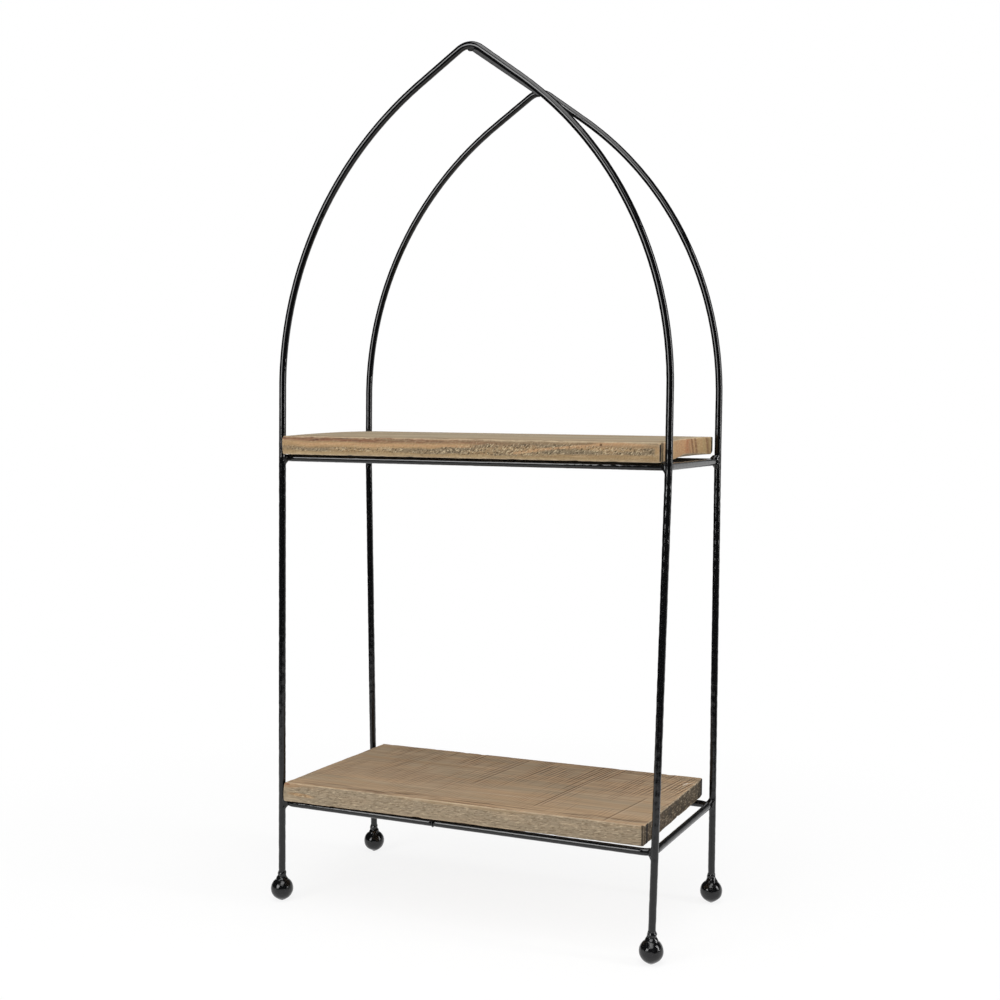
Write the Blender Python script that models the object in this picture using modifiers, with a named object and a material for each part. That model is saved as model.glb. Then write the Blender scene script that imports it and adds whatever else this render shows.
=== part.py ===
# Two-tier arched wire etagere with loose wooden boards
#
# A welded frame of round black rod: two pointed arches, one at the front and one at the back,
# whose limbs run down as the four legs, a short ridge rod between the two points, and two
# rectangular shelf frames bent from the same rod. Ball feet are welded under the legs. A plain
# board lies loose on each shelf frame. Metres, +Z up, front towards -Y, origin on the floor in
# the middle of the feet.

import bpy
import bmesh
from math import acos, atan2, cos, hypot, pi, radians, sin, sqrt, tan
from mathutils import Vector

# Rod with its lacquer, and clearances
ROD_DIAMETER = 0.0056
GAP = 0.0003

# Frame, measured between the centres of the legs
FRAME_LENGTH = 0.3100
FRAME_DEPTH = 0.1490
FRAME_TWIST = radians(3.0)
LOWER_SHELF_HEIGHT = 0.0790
SHELF_SPACING = 0.2746
SHELF_INSET = 0.0018

# Arches. Each springs from the legs a rise above the upper shelf frame, the back one a little
# lower, and is an arc, a straight run and a tight bend at the point.
ARCH_RISE = 0.0548
BACK_ARCH_DROP = 0.0040
ARCH_RADIUS = 0.2760
ARCH_STRAIGHT = 0.0385
APEX_BEND_RADIUS = 0.0144

# Ball feet, with the drip of lacquer under each
BALL_DIAMETER = 0.0180
DRIP_LENGTH = 0.0005
DRIP_ANGLE = radians(40)

# Welds. A swell or a reach is how far one stands out past the rod that it joins.
FOOT_WELD_HEIGHT = 0.0050
FOOT_WELD_REACH = 0.0025
FOOT_WELD_LIP = 0.0004
CORNER_WELD_SWELL = 0.0009
CORNER_WELD_DROP = 0.0017
RIDGE_WELD_SWELL = 0.0011
RIDGE_WELD_HALF_LENGTH = 0.0029
BUTT_WELD_LENGTH = 0.0012
BUTT_WELD_SWELL = 0.0004
LOWER_BUTT_WELD_X = -0.0217
UPPER_BUTT_WELD_X = 0.0

# Boards. Clearances are to the legs and overhangs are past the line of the legs' centres. A cut
# is how far an end of the lower board is out of square.
BOARD_CORNER_RADIUS = 0.0012
BOARD_EDGE_EASE = 0.0008
UPPER_BOARD_THICKNESS = 0.0142
UPPER_BOARD_RIGHT_CLEARANCE = 0.0019
UPPER_BOARD_FRONT_OVERHANG = 0.0064
UPPER_BOARD_BACK_OVERHANG = 0.0021
UPPER_BOARD_LIFT = 0.0026
LOWER_BOARD_THICKNESS = 0.0150
LOWER_BOARD_RIGHT_CLEARANCE = 0.0066
LOWER_BOARD_FRONT_OVERHANG = 0.0007
LOWER_BOARD_BACK_OVERHANG = 0.0059
LOWER_BOARD_LIFT_ROOM = 0.0400
LOWER_BOARD_TURN = radians(1.5)
LOWER_BOARD_LEFT_CUT = radians(3.0)
LOWER_BOARD_RIGHT_CUT = radians(0.8)

# Fineness of the round shapes
ROD_BEVEL_RESOLUTION = 4
ARCH_STEPS = 18
BEND_STEPS = 6
TURN_STEPS = 20
BALL_STEPS = 14
FLARE_STEPS = 4
SEAT_STEPS = 3
LUMP_SEGMENTS = 14
LUMP_RINGS = 9
CORNER_SEGMENTS = 4
EASE_SEGMENTS = 2

ROD_RADIUS = ROD_DIAMETER / 2
BALL_RADIUS = BALL_DIAMETER / 2
BALL_CENTRE_HEIGHT = BALL_RADIUS + DRIP_LENGTH
BALL_TOP = BALL_CENTRE_HEIGHT + BALL_RADIUS
UPPER_SHELF_HEIGHT = LOWER_SHELF_HEIGHT + SHELF_SPACING
FRONT_SPRING_HEIGHT = UPPER_SHELF_HEIGHT + ARCH_RISE
BACK_SPRING_HEIGHT = FRONT_SPRING_HEIGHT - BACK_ARCH_DROP

# The scene starts empty, with one collection for the parts and one for the cutters
for old in list(bpy.data.objects):
    bpy.data.objects.remove(old, do_unlink=True)

parts = bpy.data.collections.new("etagere")
cutters = bpy.data.collections.new("etagere_cutters")
bpy.context.scene.collection.children.link(parts)
bpy.context.scene.collection.children.link(cutters)


def material(name, colour, roughness, metallic):
    """A Principled BSDF with one colour, roughness and metallic value."""
    made = bpy.data.materials.new(name)
    made.use_nodes = True
    shader = made.node_tree.nodes["Principled BSDF"]
    shader.inputs["Base Color"].default_value = (*colour, 1.0)
    shader.inputs["Roughness"].default_value = roughness
    shader.inputs["Metallic"].default_value = metallic
    return made


# Where the frame's rods run

def frame_turn(height):
    """Turn of the frame about Z at a height. The welded frame is slightly twisted: its feet are
    turned half of the twist one way and everything from the upper shelf frame up half of it the
    other way."""
    share = (height - BALL_CENTRE_HEIGHT) / (UPPER_SHELF_HEIGHT - BALL_CENTRE_HEIGHT)
    return FRAME_TWIST * (min(share, 1.0) - 0.5)


def along(turn):
    """Unit vector along the length of the frame."""
    return Vector((cos(turn), sin(turn), 0.0))


def across(turn):
    """Unit vector from the front of the frame to its back."""
    return Vector((-sin(turn), cos(turn), 0.0))


def frame_point(x, y, height, turn):
    """A point given by its place along and across the frame, at a height."""
    return along(turn) * x + across(turn) * y + Vector((0.0, 0.0, height))


def leg_point(side_x, side_y, height):
    """Axis of a leg at a height: a straight rod from its ball to the upper shelf frame, and
    upright above that."""
    x = side_x * FRAME_LENGTH / 2
    y = side_y * FRAME_DEPTH / 2
    low = frame_point(x, y, BALL_CENTRE_HEIGHT, frame_turn(BALL_CENTRE_HEIGHT))
    high = frame_point(x, y, UPPER_SHELF_HEIGHT, frame_turn(UPPER_SHELF_HEIGHT))
    share = (height - BALL_CENTRE_HEIGHT) / (UPPER_SHELF_HEIGHT - BALL_CENTRE_HEIGHT)
    point = low.lerp(high, min(share, 1.0))
    point.z = height
    return point


def arch_turn():
    """Angle of an arch's arc. The arc, the straight run and half of the apex bend together span
    half of the frame: R (1 - cos t) + S sin t + B cos t = L / 2, solved for t."""
    across_bend = APEX_BEND_RADIUS - ARCH_RADIUS
    reach = hypot(across_bend, ARCH_STRAIGHT)
    return atan2(ARCH_STRAIGHT, across_bend) - acos((FRAME_LENGTH / 2 - ARCH_RADIUS) / reach)


def half_arch(spring_height):
    """Right half of an arch as (x, z) points from its spring to the middle of its apex: an arc
    that leaves the leg without a corner, a straight run, and the tight bend at the point."""
    turn = arch_turn()
    slope = pi / 2 - turn
    centre_x = FRAME_LENGTH / 2 - ARCH_RADIUS
    points = []
    for step in range(ARCH_STEPS + 1):
        angle = turn * step / ARCH_STEPS
        x = centre_x + ARCH_RADIUS * cos(angle)
        points.append((x, spring_height + ARCH_RADIUS * sin(angle)))
    bend_z = points[-1][1] + ARCH_STRAIGHT * sin(slope) - APEX_BEND_RADIUS * cos(slope)
    for step in range(BEND_STEPS + 1):
        angle = slope * (1 - step / BEND_STEPS)
        points.append((APEX_BEND_RADIUS * sin(angle), bend_z + APEX_BEND_RADIUS * cos(angle)))
    return points


def arch_wire_path(side_y, spring_height):
    """Path of one arch wire from its left foot over the apex to its right foot."""
    turn = frame_turn(UPPER_SHELF_HEIGHT)
    y = side_y * FRAME_DEPTH / 2
    half = half_arch(spring_height)
    whole = [(-x, z) for x, z in half] + [(x, z) for x, z in reversed(half[:-1])]
    path = [leg_point(-1, side_y, BALL_TOP + GAP), leg_point(-1, side_y, UPPER_SHELF_HEIGHT)]
    path += [frame_point(x, y, z, turn) for x, z in whole]
    path += [leg_point(1, side_y, UPPER_SHELF_HEIGHT), leg_point(1, side_y, BALL_TOP + GAP)]
    return path


def apex_point(side_y, spring_height):
    """Middle of an arch's apex bend."""
    height = half_arch(spring_height)[-1][1]
    return frame_point(0.0, side_y * FRAME_DEPTH / 2, height, frame_turn(height))


def corner_bend_radius():
    """Bend of a shelf frame's corner that brings its rod against the leg outside it."""
    return (ROD_DIAMETER + GAP - sqrt(2) * SHELF_INSET) / (sqrt(2) - 1)


def shelf_corner(side_x, side_y, height):
    """Where the centre lines of two rails of a shelf frame would cross."""
    turn = frame_turn(height)
    inward = along(turn) * side_x + across(turn) * side_y
    return leg_point(side_x, side_y, height) - inward * SHELF_INSET


def shelf_frame_path(height, weld_side_y, weld_x):
    """Path of a shelf frame from one side of its butt weld all the way round to the other."""
    corners = [(1, weld_side_y), (1, -weld_side_y), (-1, -weld_side_y), (-1, weld_side_y)]
    places = [shelf_corner(side_x, side_y, height) for side_x, side_y in corners]
    rail = (places[0] - places[3]).normalized()
    weld = places[0].lerp(places[3], 0.5) + rail * weld_x
    half_gap = rail * (BUTT_WELD_LENGTH / 2 + GAP)
    radius = corner_bend_radius()
    path = [weld + half_gap]
    for index, corner in enumerate(places):
        before = (places[index - 1] - corner).normalized()
        after = (places[(index + 1) % 4] - corner).normalized()
        opening = before.angle(after)
        centre = corner + (before + after).normalized() * (radius / sin(opening / 2))
        start = corner + before * (radius / tan(opening / 2)) - centre
        end = corner + after * (radius / tan(opening / 2)) - centre
        for step in range(BEND_STEPS + 1):
            path.append(centre + start.slerp(end, step / BEND_STEPS).normalized() * radius)
    path.append(weld - half_gap)
    return path, weld, rail


# How each kind of piece is made

def rod(name, path, diameter, surface, collection):
    """A round rod along a path: a poly curve with a round bevel and filled ends."""
    curve = bpy.data.curves.new(name, "CURVE")
    curve.dimensions = "3D"
    curve.bevel_depth = diameter / 2
    curve.bevel_resolution = ROD_BEVEL_RESOLUTION
    curve.use_fill_caps = True
    spline = curve.splines.new("POLY")
    spline.points.add(len(path) - 1)
    for spot, place in zip(spline.points, path):
        spot.co = (*place, 1.0)
    spline.use_smooth = True
    made = bpy.data.objects.new(name, curve)
    curve.materials.append(surface)
    collection.objects.link(made)
    return made


def rod_cutter(name, path):
    """A rod a gap larger all round, made a mesh with its caps welded, to cut welds with."""
    curve = rod(name + "_curve", path, ROD_DIAMETER + 2 * GAP, weld_paint, cutters)
    bpy.context.view_layer.update()
    evaluated = curve.evaluated_get(bpy.context.evaluated_depsgraph_get())
    mesh = bpy.data.meshes.new_from_object(evaluated)
    work = bmesh.new()
    work.from_mesh(mesh)
    bmesh.ops.remove_doubles(work, verts=work.verts, dist=0.00001)
    work.to_mesh(mesh)
    work.free()
    made = bpy.data.objects.new(name, mesh)
    made.matrix_world = curve.matrix_world
    made.hide_render = True
    made.display_type = "WIRE"
    cutters.objects.link(made)
    bpy.data.objects.remove(curve, do_unlink=True)
    return made


def turned(name, profile, closed, surface):
    """A piece turned about its own Z axis from an (r, z) profile that runs down its outside."""
    mesh = bpy.data.meshes.new(name)
    edges = [(index, index + 1) for index in range(len(profile) - 1)]
    if closed:
        edges.append((len(profile) - 1, 0))
    mesh.from_pydata([(r, 0.0, z) for r, z in profile], edges, [])
    mesh.materials.append(surface)
    made = bpy.data.objects.new(name, mesh)
    parts.objects.link(made)
    screw = made.modifiers.new("turn", "SCREW")
    screw.angle = 2 * pi
    screw.steps = TURN_STEPS
    screw.render_steps = TURN_STEPS
    screw.use_merge_vertices = True
    screw.merge_threshold = 0.00001
    screw.use_smooth_shade = True
    return made


def weld_lump(name, place, half_sizes, turn, cut_by):
    """A weld bead: an egg-shaped lump of three half sizes, cut clear of the rods it joins."""
    mesh = bpy.data.meshes.new(name)
    work = bmesh.new()
    bmesh.ops.create_uvsphere(
        work, u_segments=LUMP_SEGMENTS, v_segments=LUMP_RINGS, radius=1.0
    )
    bmesh.ops.scale(work, vec=half_sizes, verts=work.verts)
    work.to_mesh(mesh)
    work.free()
    mesh.shade_smooth()
    mesh.materials.append(weld_paint)
    made = bpy.data.objects.new(name, mesh)
    made.location = place
    made.rotation_euler = (0.0, 0.0, turn)
    parts.objects.link(made)
    for cutter in cut_by:
        cut = made.modifiers.new("clear_" + cutter.name, "BOOLEAN")
        cut.operation = "DIFFERENCE"
        cut.solver = "EXACT"
        cut.object = cutter
    return made


def board(name, outline, thickness, surface):
    """A plain board with slightly rounded corners and eased edges. Its underside has the four
    (x, y) corners of the outline, from the front left one round past the front right one."""
    mesh = bpy.data.meshes.new(name)
    work = bmesh.new()
    low = [work.verts.new((x, y, 0.0)) for x, y in outline]
    high = [work.verts.new((x, y, thickness)) for x, y in outline]
    work.faces.new(low[::-1])
    work.faces.new(high)
    for index in range(4):
        work.faces.new((low[index - 1], low[index], high[index], high[index - 1]))
    upright = [work.edges.get((below, above)) for below, above in zip(low, high)]
    bmesh.ops.bevel(
        work,
        geom=upright,
        offset=BOARD_CORNER_RADIUS,
        segments=CORNER_SEGMENTS,
        profile=0.5,
        affect="EDGES",
    )
    work.to_mesh(mesh)
    work.free()
    mesh.materials.append(surface)
    made = bpy.data.objects.new(name, mesh)
    parts.objects.link(made)
    ease = made.modifiers.new("eased_edges", "BEVEL")
    ease.width = BOARD_EDGE_EASE
    ease.segments = EASE_SEGMENTS
    ease.limit_method = "ANGLE"
    ease.angle_limit = radians(40)
    mesh.shade_smooth()
    mesh.set_sharp_from_angle(angle=radians(30))
    return made


# Finishes
rod_paint = material("black_lacquer", (0.006, 0.006, 0.007), 0.25, 0.0)
weld_paint = material("black_lacquer_on_welds", (0.007, 0.007, 0.008), 0.30, 0.0)
ball_paint = material("black_lacquer_on_feet", (0.006, 0.006, 0.007), 0.18, 0.0)
upper_wood = material("weathered_pine_upper", (0.352, 0.242, 0.142), 0.75, 0.0)
lower_wood = material("weathered_pine_lower", (0.297, 0.216, 0.141), 0.80, 0.0)

# Arch wires, each bent from one rod from foot to foot
front_path = arch_wire_path(-1, FRONT_SPRING_HEIGHT)
back_path = arch_wire_path(1, BACK_SPRING_HEIGHT)
rod("front_arch_wire", front_path, ROD_DIAMETER, rod_paint, parts)
rod("back_arch_wire", back_path, ROD_DIAMETER, rod_paint, parts)
wire_cutters = {
    -1: rod_cutter("front_arch_cutter", front_path),
    1: rod_cutter("back_arch_cutter", back_path),
}

# Ridge rod, butted between the two apex bends and welded to each
front_apex = apex_point(-1, FRONT_SPRING_HEIGHT)
back_apex = apex_point(1, BACK_SPRING_HEIGHT)
ridge_way = (back_apex - front_apex).normalized()
ridge_front = front_apex + ridge_way * (ROD_RADIUS + GAP)
ridge_back = back_apex - ridge_way * (ROD_RADIUS + GAP)
rod("ridge_rod", [ridge_front, ridge_back], ROD_DIAMETER, rod_paint, parts)
ridge_cutter = rod_cutter("ridge_cutter", [ridge_front, ridge_back])

ridge_weld_radius = ROD_RADIUS + RIDGE_WELD_SWELL
ridge_weld_sizes = (ridge_weld_radius, RIDGE_WELD_HALF_LENGTH, ridge_weld_radius)
for end_name, end, side_y in (("front", ridge_front, -1), ("back", ridge_back, 1)):
    turn = frame_turn(end.z)
    cut_by = (wire_cutters[side_y], ridge_cutter)
    weld_lump("ridge_weld_" + end_name, end, ridge_weld_sizes, turn, cut_by)

# Shelf frames, each a rectangle bent from one rod and closed by a butt weld. The upper one's
# butt weld is in its back rail and the lower one's in its front rail.
SHELVES = (
    ("upper", UPPER_SHELF_HEIGHT, 1, UPPER_BUTT_WELD_X),
    ("lower", LOWER_SHELF_HEIGHT, -1, LOWER_BUTT_WELD_X),
)
CORNERS = (
    ("front_left", -1, -1),
    ("front_right", 1, -1),
    ("back_left", -1, 1),
    ("back_right", 1, 1),
)
for shelf, height, weld_side, weld_x in SHELVES:
    path, weld, rail = shelf_frame_path(height, weld_side, weld_x)
    rod(shelf + "_shelf_frame", path, ROD_DIAMETER, rod_paint, parts)
    shelf_cutter = rod_cutter(shelf + "_shelf_cutter", path)

    # The butt weld is a thin swollen disc between the two ends of the rod, flush with their top
    half = BUTT_WELD_LENGTH / 2
    swell = ROD_RADIUS + BUTT_WELD_SWELL
    upper_side = [(0.0, half), (ROD_RADIUS, half), (swell, half / 3)]
    lower_side = [(r, -z) for r, z in reversed(upper_side)]
    butt = turned(shelf + "_butt_weld", upper_side + lower_side, False, weld_paint)
    butt.location = weld - Vector((0.0, 0.0, BUTT_WELD_SWELL))
    butt.rotation_mode = "QUATERNION"
    butt.rotation_quaternion = Vector((0.0, 0.0, 1.0)).rotation_difference(rail)

    # One weld in each corner fills the crook between the leg and the bend. At the back of the
    # upper frame it stands higher than the rails and carries the board's back edge.
    turn = frame_turn(height)
    for corner, side_x, side_y in CORNERS:
        inward = -(along(turn) * side_x + across(turn) * side_y).normalized()
        top = ROD_RADIUS - GAP
        if shelf == "upper" and side_y > 0:
            top = ROD_RADIUS + UPPER_BOARD_LIFT
        bottom = -ROD_RADIUS - CORNER_WELD_DROP
        wide = ROD_RADIUS + CORNER_WELD_SWELL
        sizes = (wide, wide, (top - bottom) / 2)
        place = leg_point(side_x, side_y, height + (top + bottom) / 2) + inward * ROD_RADIUS
        cut_by = (wire_cutters[side_y], shelf_cutter)
        name = shelf + "_corner_weld_" + corner
        weld_lump(name, place, sizes, atan2(inward.y, inward.x), cut_by)

# Ball feet: a sphere that runs out into a short cone with a small flat, where the lacquer dripped
cone_x = BALL_RADIUS * sin(DRIP_ANGLE)
cone_z = -BALL_RADIUS * cos(DRIP_ANGLE)
flat_radius = cone_x - (cone_z + BALL_CENTRE_HEIGHT) / tan(DRIP_ANGLE)
ball_profile = []
for step in range(BALL_STEPS + 1):
    angle = (pi - DRIP_ANGLE) * step / BALL_STEPS
    ball_profile.append((BALL_RADIUS * sin(angle), BALL_RADIUS * cos(angle)))
ball_profile += [(flat_radius, -BALL_CENTRE_HEIGHT), (0.0, -BALL_CENTRE_HEIGHT)]

# The foot weld is a collar that flares in a cubic curve from the rod onto the top of the ball
bore = ROD_RADIUS + GAP
seat = BALL_RADIUS + GAP
collar_radius = ROD_RADIUS + FOOT_WELD_REACH
collar_top = BALL_RADIUS + FOOT_WELD_HEIGHT
seat_profile = []
for step in range(SEAT_STEPS + 1):
    r = collar_radius + (bore - collar_radius) * step / SEAT_STEPS
    seat_profile.append((r, sqrt(seat * seat - r * r)))
collar_foot = seat_profile[0][1] + FOOT_WELD_LIP
flare = []
for step in range(FLARE_STEPS + 1):
    share = step / FLARE_STEPS
    r = bore + FOOT_WELD_LIP + (collar_radius - bore - FOOT_WELD_LIP) * share ** 3
    flare.append((r, collar_top + (collar_foot - collar_top) * share))
collar_profile = [(bore, collar_top)] + flare + seat_profile

for corner, side_x, side_y in CORNERS:
    centre = leg_point(side_x, side_y, BALL_CENTRE_HEIGHT)
    ball = turned("foot_ball_" + corner, ball_profile, False, ball_paint)
    ball.location = centre
    collar = turned("foot_weld_" + corner, collar_profile, True, weld_paint)
    collar.location = centre
    collar.rotation_mode = "QUATERNION"
    leg_way = leg_point(side_x, side_y, UPPER_SHELF_HEIGHT) - centre
    collar.rotation_quaternion = Vector((0.0, 0.0, 1.0)).rotation_difference(leg_way)

# Upper board, pushed against the left legs and square to the frame. Its front edge lies on the
# front rail and its back edge on the back corner welds, which lift it.
room = FRAME_LENGTH - ROD_DIAMETER
rail_y = FRAME_DEPTH / 2 - SHELF_INSET
upper_turn = frame_turn(UPPER_SHELF_HEIGHT)
upper_tilt = atan2(UPPER_BOARD_LIFT, 2 * rail_y)
upper_length = room - GAP - UPPER_BOARD_RIGHT_CLEARANCE
upper_depth = FRAME_DEPTH + UPPER_BOARD_FRONT_OVERHANG + UPPER_BOARD_BACK_OVERHANG
upper_x = (GAP - UPPER_BOARD_RIGHT_CLEARANCE) / 2
upper_y = (UPPER_BOARD_BACK_OVERHANG - UPPER_BOARD_FRONT_OVERHANG) / 2
upper_z = UPPER_SHELF_HEIGHT + ROD_RADIUS + GAP + (upper_y + rail_y) * tan(upper_tilt)
upper_outline = [
    (-upper_length / 2, -upper_depth / 2),
    (upper_length / 2, -upper_depth / 2),
    (upper_length / 2, upper_depth / 2),
    (-upper_length / 2, upper_depth / 2),
]
upper_board = board("upper_board", upper_outline, UPPER_BOARD_THICKNESS, upper_wood)
upper_board.location = frame_point(upper_x, upper_y, upper_z, upper_turn)
upper_board.rotation_euler = (upper_tilt, 0.0, upper_turn)

# Lower board, flat on the front and back rails, turned a little in its frame and cut out of
# square at both ends. Its left end lies by the front left leg. That leg leans in, so the end is
# cut to stand a gap clear of it where the board is lifted by its lift room.
lower_z = LOWER_SHELF_HEIGHT + ROD_RADIUS + GAP
lower_turn = frame_turn(LOWER_SHELF_HEIGHT) + LOWER_BOARD_TURN
front_y = -FRAME_DEPTH / 2 - LOWER_BOARD_FRONT_OVERHANG
back_y = FRAME_DEPTH / 2 + LOWER_BOARD_BACK_OVERHANG
left_leg = leg_point(-1, -1, lower_z + LOWER_BOARD_THICKNESS + LOWER_BOARD_LIFT_ROOM)
left_leg_y = left_leg.dot(across(lower_turn))
left_x = left_leg.dot(along(lower_turn)) + (ROD_RADIUS + GAP) / cos(LOWER_BOARD_LEFT_CUT)
right_leg = leg_point(1, -1, lower_z)
right_x = right_leg.dot(along(lower_turn)) - ROD_RADIUS - LOWER_BOARD_RIGHT_CLEARANCE
lower_outline = [
    (left_x + (front_y - left_leg_y) * tan(LOWER_BOARD_LEFT_CUT), front_y),
    (right_x, front_y),
    (right_x + (back_y - front_y) * tan(LOWER_BOARD_RIGHT_CUT), back_y),
    (left_x + (back_y - left_leg_y) * tan(LOWER_BOARD_LEFT_CUT), back_y),
]
lower_board = board("lower_board", lower_outline, LOWER_BOARD_THICKNESS, lower_wood)
lower_board.location = (0.0, 0.0, lower_z)
lower_board.rotation_euler = (0.0, 0.0, lower_turn)
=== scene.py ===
# %% [markdown]
# # A wire etagere with two weathered boards
#
# The object is a small shelf stand: a frame of black lacquered steel rod with two pointed arches,
# four ball feet and two loose boards of weathered pine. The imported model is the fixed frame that
# everything here is built around. It is exact but faceted, so each rod, weld, ball and board is
# made again as a smooth surface in the same place, and then given its finish.

# %% Load the fixed frame
import math

import bmesh
import bpy
import numpy as np
from mathutils import Matrix, Vector


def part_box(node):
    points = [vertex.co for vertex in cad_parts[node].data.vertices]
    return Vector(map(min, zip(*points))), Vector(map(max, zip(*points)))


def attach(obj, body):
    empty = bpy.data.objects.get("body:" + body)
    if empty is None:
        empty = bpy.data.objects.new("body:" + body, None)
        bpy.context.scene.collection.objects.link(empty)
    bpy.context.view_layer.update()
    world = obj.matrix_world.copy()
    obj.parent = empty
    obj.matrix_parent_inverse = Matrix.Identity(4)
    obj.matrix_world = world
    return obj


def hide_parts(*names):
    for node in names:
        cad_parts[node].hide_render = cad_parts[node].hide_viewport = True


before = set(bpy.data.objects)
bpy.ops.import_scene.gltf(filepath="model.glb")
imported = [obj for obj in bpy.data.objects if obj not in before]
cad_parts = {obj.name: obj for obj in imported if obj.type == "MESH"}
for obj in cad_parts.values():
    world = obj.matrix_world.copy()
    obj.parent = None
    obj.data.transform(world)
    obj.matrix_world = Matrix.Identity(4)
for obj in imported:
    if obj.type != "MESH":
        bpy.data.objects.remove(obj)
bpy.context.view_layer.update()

# %% [markdown]
# ## Camera
#
# The photograph was taken from about one metre, a little above the middle of the stand and from
# its right. A camera can be placed by eye, but here its angles, distance and lens come from fitting
# the known corners of the stand to the photograph. The camera rolls by less than a degree, so its
# turn is built from its own three directions instead of from a track constraint.

# %% Camera at the photograph's angle
CAMERA_AZIMUTH = math.radians(23.095)
CAMERA_ELEVATION = math.radians(3.260)
CAMERA_ROLL = math.radians(0.686)
CAMERA_DISTANCE = 1.15923
CAMERA_LENS = 52.863
SENSOR_WIDTH = 36.0
AIM_HEIGHT = 0.32189
AIM_SIDEWAYS = -0.00152


def outward(azimuth, elevation):
    """Direction out from the stand: the azimuth turns from its front to its right, in radians."""
    level = math.cos(elevation)
    return Vector((math.sin(azimuth) * level, -math.cos(azimuth) * level, math.sin(elevation)))


def show(name, data):
    """An object with this data, linked to the scene."""
    made = bpy.data.objects.new(name, data)
    bpy.context.scene.collection.objects.link(made)
    return made


camera_back = outward(CAMERA_AZIMUTH, CAMERA_ELEVATION)
camera_right = Vector((math.cos(CAMERA_AZIMUTH), math.sin(CAMERA_AZIMUTH), 0.0))
camera_up = camera_back.cross(camera_right)
aim = Vector((0.0, 0.0, AIM_HEIGHT)) + camera_right * AIM_SIDEWAYS
turned_right = camera_right * math.cos(CAMERA_ROLL) + camera_up * math.sin(CAMERA_ROLL)
turned_up = camera_up * math.cos(CAMERA_ROLL) - camera_right * math.sin(CAMERA_ROLL)

camera_data = bpy.data.cameras.new("photo_camera")
camera_data.sensor_width = SENSOR_WIDTH
camera_data.lens = CAMERA_LENS
camera = show("photo_camera", camera_data)
turn = Matrix((turned_right, turned_up, camera_back)).transposed().to_4x4()
camera.matrix_world = Matrix.Translation(aim + camera_back * CAMERA_DISTANCE) @ turn
bpy.context.scene.camera = camera
print("camera at, m", [round(value, 3) for value in camera.location])

# %% [markdown]
# ## Driving dimensions
#
# These are the sizes the frame was bent to, in metres, with the origin on the floor in the middle
# of the feet. The welder left the stand with a slight twist: going up from the feet to the upper
# shelf frame, everything turns by three degrees about the vertical. Building on the same few
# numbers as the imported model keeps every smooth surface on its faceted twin.

# %% Sizes of the rods and the frame
ROD_RADIUS = 0.0028
FRAME_LENGTH = 0.3100
FRAME_DEPTH = 0.1490
FRAME_TWIST = math.radians(3.0)
GAP = 0.0003
SHELF_INSET = 0.0018
BALL_RADIUS = 0.0090
DRIP_LENGTH = 0.0005
LOWER_SHELF_HEIGHT = 0.0790
SHELF_SPACING = 0.2746
UPPER_SHELF_HEIGHT = LOWER_SHELF_HEIGHT + SHELF_SPACING
LEG_OVER_SHELF = 0.0548
BACK_ARCH_DROP = 0.0040
FRONT_SPRING_HEIGHT = UPPER_SHELF_HEIGHT + LEG_OVER_SHELF
BACK_SPRING_HEIGHT = FRONT_SPRING_HEIGHT - BACK_ARCH_DROP
ARCH_RADIUS = 0.2760
ARCH_STRAIGHT = 0.0385
APEX_BEND_RADIUS = 0.0144
BALL_CENTRE_HEIGHT = BALL_RADIUS + DRIP_LENGTH


def climb(height):
    """How far up a height is: 0 at the middle of the balls and 1 at the upper shelf frame."""
    return (height - BALL_CENTRE_HEIGHT) / (UPPER_SHELF_HEIGHT - BALL_CENTRE_HEIGHT)


def frame_turn(height):
    """Turn about Z at a height: it grows evenly from the feet to the upper shelf and then stays."""
    return FRAME_TWIST * (np.clip(climb(height), 0.0, 1.0) - 0.5)


def frame_points(x, y, height, turn):
    """Points from their places along and across the frame: x and y turned about Z, and a height."""
    x, y, height = np.broadcast_arrays(x, y, height)
    turned_x = x * np.cos(turn) - y * np.sin(turn)
    turned_y = x * np.sin(turn) + y * np.cos(turn)
    return np.stack([turned_x, turned_y, height], axis=-1).astype(float)


def leg_point(side_x, side_y, height):
    """Axis of a leg: a straight line from its ball to the upper shelf frame, upright above."""
    x, y = side_x * FRAME_LENGTH / 2, side_y * FRAME_DEPTH / 2
    low = frame_points(x, y, BALL_CENTRE_HEIGHT, -FRAME_TWIST / 2)
    high = frame_points(x, y, UPPER_SHELF_HEIGHT, FRAME_TWIST / 2)
    point = low + (high - low) * min(climb(height), 1.0)
    point[2] = height
    return point


CORNERS = {
    "front_left": (-1, -1),
    "front_right": (1, -1),
    "back_left": (-1, 1),
    "back_right": (1, 1),
}
for corner, sides in CORNERS.items():
    low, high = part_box("foot_ball_" + corner)
    off = (low + high) / 2 - Vector(leg_point(*sides, BALL_CENTRE_HEIGHT))
    print(corner, "ball is off its leg by, mm", [round(1000 * value, 3) for value in off[:2]])

# %% [markdown]
# ## Surfaces from numpy grids
#
# A handmade surface is never perfectly even: lacquer pools in small lumps, weld beads ripple, board
# edges are dented. Sculpting such marks by hand would not repeat, and a displacement modifier would
# be lost on the exported meshes. So each surface is a grid of points worked out from two
# parameters, and a smooth, seeded noise moves the points before they become a mesh.

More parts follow.
